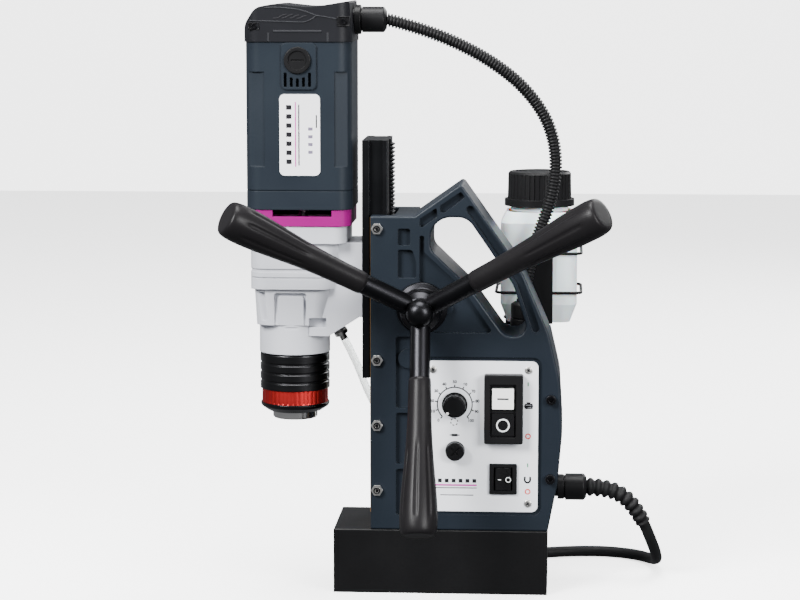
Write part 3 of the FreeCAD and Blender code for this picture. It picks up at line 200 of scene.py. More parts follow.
# ---------------------------------------------------------------- mains lead
# Rubber three-core lead, 9 mm thick and 2 m long, out of the housing's side, over the
# ground and into a tidy coil behind the foot, with its moulded plug beside the coil.
LEAD_RADIUS = 0.0045
LEAD_WIDTH = 2 * LEAD_RADIUS
COIL_CENTRE = (0.005, 0.126)
COIL_RADIUS = 0.0585
COIL_TURNS = 5.32
LEAD_OUT = [(0.1146, 0, 0.0786), (0.129, 0, 0.0785), (0.146, 0.0005, 0.0712), (0.1588, 0.004, 0.0535),
            (0.168, 0.015, 0.0305), (0.173, 0.036, 0.0135), (0.172, 0.062, 0.0055), (0.158, 0.085, 0.0045),
            (0.132, 0.096, 0.0045), (0.102, 0.094, 0.0045), (0.071, 0.083, 0.0045), (0.038, 0.072, 0.0045)]
LEAD_TAIL = [(-0.037, 0.173, 0.0125), (-0.02, 0.19, 0.009), (-0.001, 0.197, 0.006), (0.018, 0.197, 0.006)]


def eased(low, high, value):
    share = min(max((value - low) / (high - low), 0), 1)
    return share * share * (3 - 2 * share)


def coil_points():
    """Three turns inwards on the ground and two and a third outwards on top of them."""
    per_turn = 16
    points = []
    for step in range(int(COIL_TURNS * per_turn) + 1):
        turn = step / per_turn
        radius = (COIL_RADIUS - LEAD_WIDTH * (eased(0.85, 1, turn) + eased(1.85, 2, turn))
                  + LEAD_WIDTH * (eased(3.9, 4.06, turn) + eased(4.92, 5.08, turn)))
        angle = -math.pi / 2 - turn * 2 * math.pi
        reach = radius / math.cos(math.pi / per_turn)
        points.append((COIL_CENTRE[0] + reach * math.cos(angle), COIL_CENTRE[1] + reach * math.sin(angle),
                       LEAD_RADIUS + LEAD_WIDTH * eased(2.8, 3.05, turn)))
    return points


def smooth_curve(name, points):
    """A curve of one quadratic spline with these control points."""
    curve = bpy.data.curves.new(name, "CURVE")
    curve.dimensions = "3D"
    spline = curve.splines.new("NURBS")
    spline.points.add(len(points) - 1)
    for knot, point in zip(spline.points, points):
        knot.co = (*point, 1)
    spline.order_u = 3
    spline.use_endpoint_u = True
    spline.resolution_u = 12
    return curve


def follow(points, step):
    """Evenly spaced points on the smooth spline of a route."""
    bare = bpy.data.objects.new("route", smooth_curve("route", points))
    dense = [v.co.copy() for v in bpy.data.meshes.new_from_object(bare).vertices]
    bpy.data.objects.remove(bare)
    gaps = [(b - a).length for a, b in zip(dense, dense[1:])]
    count = max(2, round(sum(gaps) / step))
    spacing = sum(gaps) / count
    line = [dense[0]]
    walked = 0
    for start, end, gap in zip(dense, dense[1:], gaps):
        while len(line) < count and walked + gap >= spacing * len(line):
            line.append(start.lerp(end, (spacing * len(line) - walked) / gap))
        walked += gap
    line.append(dense[-1])
    return line


def link_curve(name, curve, radius):
    curve.bevel_depth = radius
    curve.bevel_resolution = 4
    curve.use_fill_caps = True
    piece = bpy.data.objects.new(name, curve)
    bpy.context.scene.collection.objects.link(piece)
    return piece


def tube(name, line, radius_at, sides=20):
    """A closed tube round a line of points, with its own radius at each distance."""
    mesh = bpy.data.meshes.new(name)
    form = bmesh.new()
    side = (line[1] - line[0]).orthogonal().normalized()
    rings = []
    distance = 0
    for index, point in enumerate(line):
        ahead = line[min(index + 1, len(line) - 1)] - line[max(index - 1, 0)]
        side = (side - ahead * side.dot(ahead) / ahead.length_squared).normalized()
        other = ahead.cross(side).normalized()
        distance += (point - line[index - 1]).length if index else 0
        reach = radius_at(distance)
        rings.append([form.verts.new(point + (side * math.cos(a) + other * math.sin(a)) * reach)
                      for a in (2 * math.pi * n / sides for n in range(sides))])
    for lower, upper in zip(rings, rings[1:]):
        for n in range(sides):
            form.faces.new((lower[n], lower[(n + 1) % sides], upper[(n + 1) % sides], upper[n]))
    form.faces.new(list(reversed(rings[0])))
    form.faces.new(rings[-1])
    bmesh.ops.recalc_face_normals(form, faces=form.faces)
    form.to_mesh(mesh)
    form.free()
    mesh.shade_smooth()
    piece = bpy.data.objects.new(name, mesh)
    bpy.context.scene.collection.objects.link(piece)
    return piece


def dress(piece, paint, body):
    """Gives a finished new piece its material and its body."""
    piece.data.materials.clear()
    piece.data.materials.append(paint.material)
    if body:
        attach(piece, body)


rubber = moulded("lead_rubber", (0.007, 0.007, 0.0075), 0.52, grain=2600, depth=0.00002)
lead = link_curve("mains_lead", smooth_curve("mains_lead", LEAD_OUT + coil_points() + LEAD_TAIL),
                  LEAD_RADIUS)
dress(lead, rubber, "base")
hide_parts("mains_cable", "cable_coil")

# Strain relief: a moulded rubber spring of round rings that narrows a little along the lead.
RELIEF_STEP = 0.0004
RELIEF_POINTS = 146
RELIEF_RADIUS = 0.0075
RELIEF_TAPER = 0.02
RING_PITCH = 0.0062
GROOVE_DEPTH = 0.0019
relief_line = follow(LEAD_OUT, RELIEF_STEP)[:RELIEF_POINTS]
relief = tube("lead_relief", relief_line,
              lambda s: (RELIEF_RADIUS - RELIEF_TAPER * s
                         - GROOVE_DEPTH * abs(math.cos(s / RING_PITCH * math.pi)) ** 3), 28)
dress(relief, rubber, "base")
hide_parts("cable_relief")
finish_node(rubber, "mains_plug")

# ---------------------------------------------------------------- motor conduit
# Corrugated nylon hose, 10 mm, that carries the motor's wires from its top down to
# the switch housing; its top end travels with the slide.
CONDUIT = [(-0.0446, 0, 0.4486), (-0.026, 0.001, 0.444), (0.006, 0.007, 0.4325), (0.037, 0.015, 0.416),
           (0.064, 0.023, 0.3945), (0.083, 0.029, 0.367), (0.0895, 0.033, 0.336), (0.085, 0.034, 0.305),
           (0.075, 0.034, 0.278), (0.067, 0.033, 0.251), (0.0625, 0.033, 0.223)]
RIB = 0.0027
RIB_CREST = 0.0052
RIB_TROUGH = 0.0038
nylon = moulded("conduit_nylon", (0.007, 0.007, 0.0075), 0.4, grain=900, depth=0.00001, edge=0.0001)
conduit_line = follow(CONDUIT, RIB / 5)
conduit = tube("conduit_hose", conduit_line,
               lambda s: RIB_CREST if (s / RIB) % 1 < 0.5 else RIB_TROUGH, 18)
dress(conduit, nylon, None)
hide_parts("motor_conduit")
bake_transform(conduit)

# ---------------------------------------------------------------- coolant hose
# Clear PVC hose between the gearbox's barb, which travels with the slide, and the tap
# of the bottle, which doesn't; it passes behind the column.
HOSE_RADIUS = 0.003
barb_way = Vector((0.42, 0.22, -0.88)).normalized()
barb = Vector((-0.087, 0.012, 0.209))
HOSE = [tuple(barb + barb_way * 0.017), tuple(barb + barb_way * 0.039), (-0.063, 0.036, 0.148),
        (-0.052, 0.053, 0.122), (-0.03, 0.06, 0.102), (0, 0.062, 0.095), (0.028, 0.07, 0.102),
        (0.046, 0.085, 0.122), (0.052, 0.095, 0.148), (0.052, 0.095, 0.175)]
clear = Paint("clear_pvc", Transmission_Weight=0.72, IOR=1.45)
clear.set("Base Color", clear.between(clear.noise(60), (0.78, 0.82, 0.8), (0.9, 0.93, 0.92)))
clear.set("Roughness", clear.noise(300) * 0.12 + 0.06)
clear.relief(clear.noise(500), 0.00002, 0.0001)
hose_line = follow(HOSE, 0.0022)
hose = tube("clear_hose", hose_line, lambda s: HOSE_RADIUS, 16)
dress(hose, clear, None)
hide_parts("coolant_hose")
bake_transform(hose)

# ---------------------------------------------------------------- magnet foot
# Ground steel block in satin black paint; its winding lies in a slot of the underside,
# cast in brown resin.
foot_paint = moulded("foot_black", (0.003, 0.003, 0.0033), 0.4, grain=800, depth=0.00004, shift=0.3,
                     edge=0.0008, Coat_Weight=0.15, Coat_Roughness=0.3)
finish_node(foot_paint, "magnet_block")
resin = moulded("casting_resin", (0.16, 0.12, 0.07), 0.45, grain=500)
finish_node(resin, "magnet_potting")
copper = machined("enamelled_copper", (0.6, 0.27, 0.12), 0.35, (1, 1, 1), 1600)
finish_node(copper, "magnet_coil", "motor_stator")

# ---------------------------------------------------------------- frame casting
# Aluminium casting of column, switch housing and carrying handle, under a dark blue-grey
# powder coat with a fine, even pebble.
coat = moulded("frame_powder_coat", (0.007, 0.0105, 0.0155), 0.42, grain=1100, depth=0.00007, shift=0.2,
               edge=0.0008, Coat_Weight=0.12, Coat_Roughness=0.35)
finish_node(coat, "frame_casting", "rear_cover")
black_oxide = machined("black_oxide", (0.018, 0.018, 0.02), 0.36, (1, 1, 1), 1200)
finish_node(black_oxide, "housing_screws", "foot_bolts", "rail_screws")
carrier_paint = moulded("carrier_black", (0.005, 0.005, 0.0055), 0.32, grain=1500, depth=0.00001)
finish_node(carrier_paint, "bottle_bracket", "bottle_rack")
zinc = machined("zinc_plate", (0.66, 0.65, 0.62), 0.3, (1, 1, 1), 1500)
finish_node(zinc, "gib_fasteners", "panel_screws")
brass = machined("milled_brass", (0.72, 0.44, 0.2), 0.3, (1, 1, 0.03), 2400)
finish_node(brass, "brass_gibs")
finish_node(zinc, "hose_fitting")

# ---------------------------------------------------------------- guide rail
# Blackened steel slide with a rack in its back.  Both are ground along their length, so
# their tool lines run upright.
rail_steel = machined("blackened_rail", (0.022, 0.023, 0.025), 0.34, (1, 1, 0.02), 2600)
finish_node(rail_steel, "slide_rail", "feed_rack")

# ---------------------------------------------------------------- small black mouldings
# Glands, switch bodies, fuse holder and brush caps: nylon with a fine spark-eroded grain.
# The fuse cap and the dark keys are glossier; the start key and the tap's lever are white.
nylon_case = moulded("black_moulding", (0.0055, 0.0055, 0.006), 0.4, grain=2000, depth=0.00002)
finish_node(nylon_case, "mains_gland", "lower_gland", "upper_gland", "rocker_bezel", "fuse_holder",
            "brush_caps", "bottle_outlet", "switch_housing")
gloss_case = moulded("glossy_moulding", (0.005, 0.005, 0.0055), 0.28, grain=700, depth=0.000006)
finish_node(gloss_case, "fuse_cap", "off_button", "magnet_rocker")
white_case = moulded("white_moulding", (0.78, 0.78, 0.75), 0.32, grain=900, depth=0.00001, shift=0.04)
finish_node(white_case, "on_button", "tap_lever")

# ---------------------------------------------------------------- control panel
# Sheet aluminium in silver lacquer, held by four cross-head screws.  Scale, symbols and
# rules are screen-printed on it.
silver = moulded("silver_lacquer", (0.86, 0.88, 0.92), 0.34, grain=2600, depth=0.00001, shift=0.04,
                 edge=0.0003, Metallic=0.2)
finish_node(silver, "control_panel")
PANEL_FACE = -0.0416


def in_metres(points, face):
    return [(x / 1000, face, z / 1000) for x, z in points]


def arc(x, z, radius, start, end, steps=24):
    """Points of an arc in mm; angles in degrees, anticlockwise from +X."""
    return [(x + radius * math.cos(math.radians(start + (end - start) * n / steps)),
             z + radius * math.sin(math.radians(start + (end - start) * n / steps)))
            for n in range(steps + 1)]


def make_mesh(piece):
    """Turns a curve or text into a mesh with its place in its points."""
    bpy.ops.object.select_all(action="DESELECT")
    piece.select_set(True)
    bpy.context.view_layer.objects.active = piece
    bpy.ops.object.convert(target="MESH")
    bpy.ops.object.transform_apply(location=True, rotation=True, scale=True)
    piece.select_set(False)
    return piece


def proud_strokes(name, lines, width, face, proud=0.00008):
    """Strokes, width wide, that stand a little proud of an upright face: print, moulded marks, and strokes of
    painted highlight and painted shade.
    """
    curve = bpy.data.curves.new(name, "CURVE")
    curve.dimensions = "3D"
    for line in lines:
        spline = curve.splines.new("POLY")
        spline.points.add(len(line) - 1)
        for knot, point in zip(spline.points, in_metres(line, 0)):
            knot.co = (*point, 1)
    curve.bevel_depth = width / 2
    curve.bevel_resolution = 2
    curve.use_fill_caps = True
    piece = bpy.data.objects.new(name, curve)
    bpy.context.scene.collection.objects.link(piece)
    make_mesh(piece)
    piece.data.transform(Matrix.Translation((0, face, 0)) @ Matrix.Diagonal((1, 2 * proud / width, 1, 1)))
    piece.data.shade_smooth()
    return piece


def printed(name, colour, roughness=0.4):
    ink = Paint(name, Specular_IOR_Level=0.1)
    ink.set("Base Color", ink.between(ink.noise(900), tuple(c * 0.86 for c in colour), colour))
    ink.set("Roughness", ink.noise(1500) * 0.15 + (roughness - 0.07))
    return ink


# Black ink for the print; it also paints the shade of the cap's vents and the screws' cross recesses.
black_ink_and_shade = printed("black_ink_and_shade", (0.012, 0.012, 0.014))
DIAL = (11.2, 151)
SCALE_RADIUS = 13.6
TICK_END = 15.6
dial_angles = [225 - 27 * n for n in range(11)]
ticks = [[(DIAL[0] + r * math.cos(math.radians(a)), DIAL[1] + r * math.sin(math.radians(a)))
          for r in (SCALE_RADIUS, TICK_END)] for a in dial_angles]
dial = proud_strokes("dial_scale", [arc(*DIAL, SCALE_RADIUS, 225, -45, 54)] + ticks, 0.0009, PANEL_FACE)
dress(dial, black_ink_and_shade, "base")
dots = [arc(10.8, 137.3, 2.7, n * 60, n * 60 + 32, 4) for n in range(6)]
fuse_symbol = [[(7.3, 126.8), (15, 126.8)], [(9, 126.1), (13.2, 126.1), (13.2, 127.5), (9, 127.5),
                                             (9, 126.1)]]
magnet_symbol = [(66.1, 94.4), (66.1, 91.8), *arc(68.2, 91.8, 2.1, 180, 360, 12), (70.3, 91.8), (70.3, 94.4)]
motor_symbol = [[(66.2, 148.7), (71.4, 148.7), (71.4, 151.7), (66.2, 151.7), (66.2, 148.7)],
                [(67, 150.2), (70.6, 150.2)], [(65.2, 150.2), (72.2, 150.2)], [(67.2, 152.6), (70.2, 152.6)]]
symbols = proud_strokes("panel_symbols", dots + fuse_symbol, 0.0008, PANEL_FACE)
dress(symbols, black_ink_and_shade, "base")
heavy = proud_strokes("panel_heavy_symbols", [magnet_symbol] + motor_symbol, 0.0015, PANEL_FACE)
dress(heavy, black_ink_and_shade, "base")
green = proud_strokes("panel_start_marks", [[(68.3, 166), (68.3, 169)], [(68.3, 102), (68.3, 105)]], 0.0009,
                    PANEL_FACE)
dress(green, printed("green_ink", (0.05, 0.24, 0.12)), "base")
stop_marks = proud_strokes("panel_stop_marks", [arc(68.4, 126.4, 1.8, 0, 360), arc(68.4, 82.5, 1.8, 0, 360)],
                         0.001, PANEL_FACE)
dress(stop_marks, printed("red_ink", (0.62, 0.05, 0.04)), "base")
rule = proud_strokes("panel_rule", [[(-3.5, 87.1), (28.6, 87.1)]], 0.0013, PANEL_FACE)
blocks = proud_strokes("panel_blocks", [[(x, 90.6), (x + 3, 90.6)] for x in (-1.8, 3.6, 9, 14.4, 19.8, 25.2)],
                     0.003, PANEL_FACE)
dress(blocks, black_ink_and_shade, "base")
fine_rules = proud_strokes("panel_fine_rules", [[(-3.5, 84.9), (28.6, 84.9)], [(0, 79.2), (26, 79.2)]], 0.0007,
                         PANEL_FACE)
dress(fine_rules, black_ink_and_shade, "base")
magenta_ink = printed("magenta_ink", (0.5, 0.03, 0.33))
dress(rule, magenta_ink, "base")

# Painted shade: the screws' cross recesses are black strokes on their heads.
SCREW_FACE = -0.0429
cross_shade = proud_strokes("screw_cross_shade", [
    [(x + 1.4 * turn_x, z + 1.4 * turn_z), (x - 1.4 * turn_x, z - 1.4 * turn_z)]
    for x in (-5.8, 68.5) for z in (73, 178.5) for turn_x, turn_z in ((0.8, 0.6), (-0.6, 0.8))],
    0.0009, SCREW_FACE, 0.0003)
dress(cross_shade, black_ink_and_shade, "base")

NUMBER_REACH = 0.0179
numbers = []
for number, angle in enumerate(dial_angles):
    along = Vector((math.cos(math.radians(angle)), 0, math.sin(math.radians(angle))))
    at = Vector((DIAL[0] / 1000, PANEL_FACE - 0.00008, DIAL[1] / 1000)) + along * NUMBER_REACH
    bpy.ops.object.text_add(location=at, rotation=(math.pi / 2, 0, 0))
    numeral = bpy.context.object
    numeral.data.body = str(number * 10)
    numeral.data.size = 0.0031
    numeral.data.align_x = "CENTER"
    numeral.data.align_y = "CENTER"
    numeral.data.extrude = 0.00004
    numeral.data.offset = 0.0001
    numbers.append(make_mesh(numeral))
bpy.ops.object.select_all(action="DESELECT")
for numeral in numbers:
    numeral.select_set(True)
bpy.context.view_layer.objects.active = numbers[0]
bpy.ops.object.join()
numbers[0].name = "dial_numbers"
dress(numbers[0], black_ink_and_shade, "base")

# ---------------------------------------------------------------- speed knob
# Moulded knob with a low skirt, shallow finger flutes and a white dot as its pointer,
# which turns with it.


def into_edit(piece, test):
    """Edit mode with the faces selected whose centre and normal pass a test."""
    bpy.ops.object.select_all(action="DESELECT")
    piece.select_set(True)
    bpy.context.view_layer.objects.active = piece
    for vertex in piece.data.vertices:
        vertex.select = False
    for edge in piece.data.edges:
        edge.select = False
    for face in piece.data.polygons:
        face.select = test(face.center, face.normal)
    bpy.ops.object.mode_set(mode="EDIT")
    bpy.ops.mesh.select_mode(type="FACE")


def out_of_edit(piece, angle=35):
    bpy.ops.mesh.select_all(action="SELECT")
    bpy.ops.mesh.normals_make_consistent(inside=False)
    bpy.ops.object.mode_set(mode="OBJECT")
    bpy.ops.object.shade_smooth_by_angle(angle=math.radians(angle))
    piece.select_set(False)


def apply_modifier(piece, kind, **settings):
    bpy.context.view_layer.objects.active = piece
    added = piece.modifiers.new(kind.lower(), kind)
    for key, value in settings.items():
        setattr(added, key, value)
    bpy.ops.object.modifier_apply(modifier=added.name)


def drum(name, radius, x, z, low, high, vertices=48):
    """A round start that stands out of an upright face, from y = high to y = low."""
    bpy.ops.mesh.primitive_cylinder_add(vertices=vertices, radius=radius, depth=high - low,
                                        location=(x, (low + high) / 2, z), rotation=(math.pi / 2, 0, 0))
    piece = bpy.context.object
    piece.name = name
    bpy.ops.object.transform_apply(location=True, rotation=True, scale=True)
    return piece


knob_x, knob_z = 0.0113, 0.1512
knob = drum("ribbed_knob", 0.01, knob_x, knob_z, -0.0458, -0.0442, 72)
into_edit(knob, lambda centre, normal: normal.y < -0.9)
bpy.ops.mesh.inset(thickness=0.0011)
bpy.ops.mesh.extrude_region_move(TRANSFORM_OT_translate={"value": (0, -0.0083, 0)})
bpy.ops.transform.resize(value=(0.95, 1, 0.95), center_override=(knob_x, -0.054, knob_z))
bpy.ops.mesh.inset(thickness=0.0009)
bpy.ops.mesh.extrude_region_move(TRANSFORM_OT_translate={"value": (0, -0.0008, 0)})
bpy.ops.mesh.inset(thickness=0.0008)
out_of_edit(knob)
into_edit(knob, lambda c, n: abs(n.y) < 0.3 and -0.0536 < c.y < -0.0465
          and math.degrees(math.atan2(c.z - knob_z, c.x - knob_x)) % 30 < 12)
bpy.ops.mesh.inset(thickness=0.0002, depth=-0.0004, use_even_offset=True)
out_of_edit(knob)
apply_modifier(knob, "BEVEL", width=0.0002, segments=2, limit_method="ANGLE")
dress(knob, gloss_case, "speed_knob")
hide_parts("speed_knob")
pointer = drum("knob_pointer", 0.0011, knob_x - 0.0052, knob_z - 0.0052, -0.0552, -0.0547, 20)
into_edit(pointer, lambda c, n: n.y < -0.9)
bpy.ops.mesh.bevel(offset=0.0002, segments=2)
out_of_edit(pointer)
dress(pointer, white_case, "speed_knob")

# ---------------------------------------------------------------- gib screw ends
# Blackened grub screws that show in the middle of the bright lock nuts, five of them
# evenly spaced up the column.
GIB_X = -0.0495
GIB_LOWEST = 0.0825
GIB_PITCH = 0.05145
for number in range(5):
    tip = drum(f"gib_screw_tip_{number + 1}", 0.0027, GIB_X, GIB_LOWEST + GIB_PITCH * number,
               -0.0457, -0.0452, 32)
    into_edit(tip, lambda c, n: n.y < -0.9)
    bpy.ops.mesh.inset(thickness=0.0009)
    bpy.ops.mesh.extrude_region_move(TRANSFORM_OT_translate={"value": (0, 0.0003, 0)})
    out_of_edit(tip)
    dress(tip, black_oxide, "base")

# ---------------------------------------------------------------- switch marks
# Filled moulded marks: a bar on the white start button, a ring on the stop button, and
# both again, small, on the magnet's rocker.
START_FACE = -0.0494
STOP_FACE = -0.0486
ROCKER_FACE = -0.0441
start_bar = proud_strokes("start_bar", [[(44.5, 156.9), (53.4, 156.9)]], 0.0013, START_FACE)
dress(start_bar, black_ink_and_shade, "on_button")
white_ink = printed("white_ink", (0.72, 0.74, 0.74))
stop_ring = proud_strokes("stop_ring", [arc(49, 136, 4.7, 0, 360, 40)], 0.0012, STOP_FACE)
dress(stop_ring, white_ink, "off_button")
rocker_marks = proud_strokes("rocker_marks", [[(45.2, 92.2), (47.6, 92.2)], arc(53.2, 92.2, 1.9, 0, 360)],
                           0.0007, ROCKER_FACE, 0.0006)
dress(rocker_marks, white_ink, "magnet_rocker")

# ---------------------------------------------------------------- feed wheel
# Turned steel hub and spokes in black, and three swelling nylon grips whose outer half
# has long shallow flutes.
finish_node(black_oxide, "hub", "spokes")
turned_steel = machined("turned_steel", (0.56, 0.56, 0.55), 0.28, (1, 1, 1), 2200)
finish_node(turned_steel, "pinion_shaft", "shaft_bushes", "armature", "idler_gear", "spindle",
            "ball_bearings", "speed_pot")
grip_nylon = moulded("grip_nylon", (0.0065, 0.006, 0.0066), 0.36, grain=1200, depth=0.00002)
GRIP_STATIONS = [(0.0545, 0.0087), (0.068, 0.0088), (0.082, 0.0091), (0.095, 0.0096), (0.108, 0.0104),
                 (0.12, 0.0114), (0.132, 0.0126), (0.144, 0.0137), (0.154, 0.0144), (0.163, 0.0146),
                 (0.1705, 0.0143), (0.1748, 0.0133), (0.176, 0.0118)]
height, width = 0.053, 0.0083
bpy.ops.mesh.primitive_circle_add(vertices=48, radius=width, fill_type="NGON", location=(0, 0, height))
grip = bpy.context.object
bpy.ops.object.transform_apply(location=True, rotation=True, scale=True)
into_edit(grip, lambda c, n: True)
for next_height, next_width in GRIP_STATIONS:
    bpy.ops.mesh.extrude_region_move(TRANSFORM_OT_translate={"value": (0, 0, next_height - height)})
    ratio = next_width / width
    bpy.ops.transform.resize(value=(ratio, ratio, 1), center_override=(0, 0, next_height))
    height, width = next_height, next_width
bpy.ops.mesh.inset(thickness=0.004)
out_of_edit(grip, 60)
into_edit(grip, lambda c, n: 0.106 < c.z < 0.165 and abs(n.z) < 0.5
          and (math.degrees(math.atan2(c.y, c.x)) + 3.75) % 45 < 20)
bpy.ops.mesh.inset(thickness=0.0008, depth=-0.0008, use_even_offset=True)
out_of_edit(grip, 60)
apply_modifier(grip, "SUBSURF", levels=1, render_levels=1)
grip.data.shade_smooth()
ARM_LEAD = 0.9
crossing = Vector((-0.0145, -0.062, 0.227))
lean = math.radians(24)
for number, degrees in enumerate((-90, 30, 150)):
    turn = math.radians(degrees + ARM_LEAD)
    along = Vector((math.cos(turn) * math.cos(lean), -math.sin(lean), math.sin(turn) * math.cos(lean)))
    placed = bpy.data.objects.new(f"grip_{number + 1}", grip.data.copy())
    bpy.context.scene.collection.objects.link(placed)
    placed.data.transform(Matrix.Translation(crossing) @ along.to_track_quat("Z", "Y").to_matrix().to_4x4())
    dress(placed, grip_nylon, "feed_wheel")
    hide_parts("grips")
bpy.data.objects.remove(grip)

# ---------------------------------------------------------------- gearbox
# Die-cast gearbox under a light grey textured lacquer, which softens its edges a little
# more than the frame's coat does.
grey = moulded("gearbox_lacquer", (0.46, 0.47, 0.505), 0.42, grain=1300, depth=0.00005, shift=0.06,
               edge=0.001)
finish_node(grey, "gearbox_housing")

# ---------------------------------------------------------------- fan ring
# Magenta glass-filled nylon spacer between the gearbox and the motor, the one strongly
# coloured moulding of the press.
magenta = moulded("magenta_nylon", (0.2, 0.001, 0.115), 0.4, grain=1100, depth=0.00004, shift=0.1,
                  edge=0.0008)
finish_node(magenta, "fan_ring")

# ---------------------------------------------------------------- motor
# Glass-filled nylon motor case, dark grey, with a printed plate and the brush caps.  A
# dark sheet behind the slots is painted shade: it keeps the inside dark.


def block(name, centre, size):
    """A box of this size with its place in its mesh."""
    bpy.ops.mesh.primitive_cube_add(size=1, location=centre, scale=size)
    piece = bpy.context.object
    piece.name = name
    bpy.ops.object.transform_apply(location=True, rotation=True, scale=True)
    return piece


case_nylon = moulded("motor_nylon", (0.0105, 0.0145, 0.020), 0.42, grain=1100, depth=0.00007, shift=0.16,
                     edge=0.001)
finish_node(case_nylon, "motor_housing")
# Painted shade: a dark sheet where the inside of the case is only in shade.
screen = block("slot_shade_sheet", (-0.1095, -0.0362, 0.4035), (0.026, 0.0006, 0.0135))
apply_modifier(screen, "BEVEL", width=0.0002, segments=2)
dress(screen, case_nylon, "carriage")
carbon = moulded("brush_carbon", (0.02, 0.02, 0.02), 0.6)
finish_node(carbon, "carbon_brushes")
laminate = moulded("board_laminate", (0.03, 0.2, 0.09), 0.4, grain=400)
finish_node(laminate, "control_board")
plate_white = moulded("plate_white", (0.82, 0.82, 0.84), 0.3, grain=2600, depth=0.000006, shift=0.03)
PLATE_FACE = -0.0405
plate = block("motor_plate", (-0.10925, -0.0402, 0.3605), (0.0315, 0.0006, 0.063))
bpy.ops.object.mode_set(mode="EDIT")
bpy.ops.mesh.select_mode(type="EDGE")
bpy.ops.mesh.select_all(action="DESELECT")
bpy.ops.object.mode_set(mode="OBJECT")
for edge in plate.data.edges:
    first, last = (plate.data.vertices[n].co for n in edge.vertices)
    edge.select = abs(first.y - last.y) > 0.0004
bpy.ops.object.mode_set(mode="EDIT")
bpy.ops.mesh.bevel(offset=0.004, segments=8)
out_of_edit(plate)
dress(plate, plate_white, "carriage")
plate_rule = proud_strokes("motor_plate_rule", [[(-112.5, 336), (-112.5, 386)]], 0.0009, PLATE_FACE)
dress(plate_rule, magenta_ink, "carriage")
plate_blocks = proud_strokes("motor_plate_blocks", [
    [(-117.7, z), (-117.7, z + 3.6)] for z in range(338, 384, 7)], 0.0042, PLATE_FACE)
dress(plate_blocks, black_ink_and_shade, "carriage")
plate_lines = proud_strokes("motor_plate_lines", [[(-109.9, 337), (-109.9, 384)], [(-96.3, 366), (-96.3, 376)]],
                          0.001, PLATE_FACE)
dress(plate_lines, black_ink_and_shade, "carriage")
grey_ink = printed("grey_ink", (0.16, 0.14, 0.2))
plate_greys = proud_strokes("motor_plate_greys", [[(-101, z), (-101, z + 2.4)] for z in (346, 352, 358, 364)],
                          0.0034, PLATE_FACE)
dress(plate_greys, grey_ink, "carriage")

# ---------------------------------------------------------------- motor cap
# Near-black moulded cap over the fan end, with a sweeping raised line, shoulder lines and
# slanted vents, and a sunk screw at each front corner.  The lines' lighter colour is painted
# highlight; the vents are black strokes of painted shade.
cap_nylon = moulded("cap_nylon", (0.0075, 0.0078, 0.0095), 0.4, grain=1100, depth=0.00006, shift=0.16,
                    edge=0.001)
finish_node(cap_nylon, "motor_cap")
CAP_FACE = -0.041
# Painted highlight: the raised swoosh and shoulder strokes get this lighter nylon colour.
highlight_nylon = moulded("cap_painted_highlight", (0.017, 0.0175, 0.02), 0.36, grain=1100, depth=0.00002)
sweep = proud_strokes("cap_sweep_highlight", [
    [(-147.8, 448.3), (-138.8, 448.1), (-125.5, 447.7), (-112.2, 447.2), (-105.6, 447.2), (-101.6, 448.4),
     (-98.6, 450.2), (-95.9, 452.2)],
    [(-136.1, 458.3), (-126.7, 458.5), (-118.8, 457.9), (-110.8, 457), (-104.2, 455.3), (-99.5, 453.5),
     (-95.9, 452.2), (-88.9, 451.3), (-80.7, 449.7)]], 0.0011, CAP_FACE, 0.0005)
dress(sweep, highlight_nylon, "carriage")
# Painted shade: the vents are black strokes on the face, not openings.
vents = proud_strokes("cap_vent_shade", [
    [(-129.1, 449.9), (-125.1, 450.5), (-122.5, 452.3), (-118.8, 453.1)],
    [(-122.5, 450), (-119.5, 450.7), (-117.1, 452.3), (-114, 453)],
    [(-116.5, 449.9), (-113.8, 450.5), (-111.8, 451.8), (-109, 452.5)],
    [(-110.9, 449.7), (-108.5, 450.2), (-106.5, 451.4), (-103.5, 451.9)]], 0.0014, CAP_FACE, 0.00015)
dress(vents, black_ink_and_shade, "carriage")
shoulder = proud_strokes("cap_shoulder_highlight", [
    [(-129.4, 440.2), (-92.2, 440.2)], [(-87.3, 432.4), (-87.3, 439.2)],
    [(-133.2, 432.4), (-133.2, 439.1)]], 0.002, CAP_FACE, 0.0004)
dress(shoulder, highlight_nylon, "carriage")
CAP_WELLS = [(-0.1443, 0.4441, 0.009, 0.0055), (-0.0751, 0.4478, 0.010, 0.0078)]
for number, (x, z, wide, tall) in enumerate(CAP_WELLS):
    well = block(f"cap_screw_well_{number + 1}", (x, CAP_FACE, z), (wide, 0.001, tall))
    into_edit(well, lambda c, n: n.y < -0.9)
    bpy.ops.mesh.inset(thickness=0.0008)
    bpy.ops.mesh.extrude_region_move(TRANSFORM_OT_translate={"value": (0, 0.0007, 0)})
    out_of_edit(well)
    apply_modifier(well, "BEVEL", width=0.0003, segments=2)
    dress(well, gloss_case, "carriage")
    head = drum(f"cap_screw_{number + 1}", 0.0021, x, z, CAP_FACE - 0.0012, CAP_FACE, 24)
    into_edit(head, lambda c, n: n.y < -0.9)
    bpy.ops.mesh.inset(thickness=0.0007)
    bpy.ops.mesh.extrude_region_move(TRANSFORM_OT_translate={"value": (0, 0.0007, 0)})
    out_of_edit(head)
    dress(head, black_oxide, "carriage")

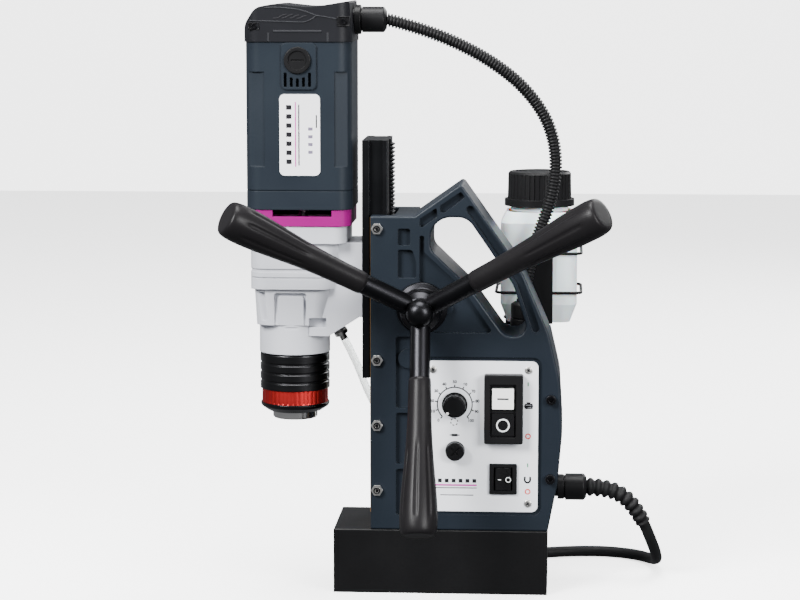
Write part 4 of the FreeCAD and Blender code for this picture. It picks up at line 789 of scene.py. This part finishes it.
# ---------------------------------------------------------------- chuck
# Quick-change arbor: bright nose, gloss black end ring and sleeve, and a red anodised ring
# whose rim has fine flats.
SPINDLE_X = -0.118
bright = machined("bright_arbor", (0.72, 0.71, 0.69), 0.2, (0.03, 0.03, 1), 2600)
finish_node(bright, "chuck_body")
sleeve_black = machined("sleeve_black", (0.03, 0.03, 0.032), 0.3, (0.03, 0.03, 1), 2600, Coat_Weight=0.2)
finish_node(sleeve_black, "chuck_end_ring", "chuck_sleeve")
red = machined("red_anodised", (0.55, 0.03, 0.03), 0.42, (1, 1, 1), 2600)
bpy.ops.mesh.primitive_cylinder_add(vertices=160, radius=0.0263, depth=0.0109,
                                    location=(SPINDLE_X, 0, 0.15145))
ring = bpy.context.object
ring.name = "knurled_ring"
bpy.ops.object.transform_apply(location=True, rotation=True, scale=True)
into_edit(ring, lambda c, n: abs(n.z) > 0.9)
bpy.ops.mesh.inset(thickness=0.0005)
out_of_edit(ring)
into_edit(ring, lambda c, n: abs(n.z) < 0.3
          and math.degrees(math.atan2(c.y, c.x - SPINDLE_X)) % 9 < 4.5)
bpy.ops.mesh.inset(thickness=0.0009, depth=-0.0003)
out_of_edit(ring, 25)
dress(ring, red, "spindle")
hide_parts("chuck_red_ring")

# ---------------------------------------------------------------- coolant bottle
# Blow-moulded translucent polythene bottle in its wire carrier, with a black screw cap
# that has a ribbed rim and a dished top.
LID_X, LID_Y = 0.075, 0.08
milky = moulded("milky_polythene", (0.78, 0.8, 0.82), 0.38, grain=300, depth=0.00003, shift=0.04,
                Subsurface_Weight=0.3, Subsurface_Scale=0.01)
finish_node(milky, "bottle")
bpy.ops.mesh.primitive_cylinder_add(vertices=120, radius=0.0284, depth=0.0055,
                                    location=(LID_X, LID_Y, 0.29925))
lid = bpy.context.object
lid.name = "ribbed_bottle_cap"
bpy.ops.object.transform_apply(location=True, rotation=True, scale=True)
into_edit(lid, lambda c, n: n.z > 0.9)
bpy.ops.mesh.inset(thickness=0.0024)
bpy.ops.mesh.extrude_region_move(TRANSFORM_OT_translate={"value": (0, 0, 0.0205)})
bpy.ops.transform.resize(value=(0.985, 0.985, 1), center_override=(LID_X, LID_Y, 0.3225))
bpy.ops.mesh.inset(thickness=0.0012)
bpy.ops.transform.translate(value=(0, 0, 0.0016))
bpy.ops.mesh.inset(thickness=0.002)
bpy.ops.mesh.extrude_region_move(TRANSFORM_OT_translate={"value": (0, 0, -0.0008)})
out_of_edit(lid)
into_edit(lid, lambda c, n: abs(n.z) < 0.3 and 0.3035 < c.z < 0.322
          and math.degrees(math.atan2(c.y - LID_Y, c.x - LID_X)) % 9 < 4.5)
bpy.ops.mesh.inset(thickness=0.0004, depth=-0.0007, use_even_offset=True)
out_of_edit(lid, 25)
dress(lid, nylon_case, "bottle_cap")
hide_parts("bottle_cap")
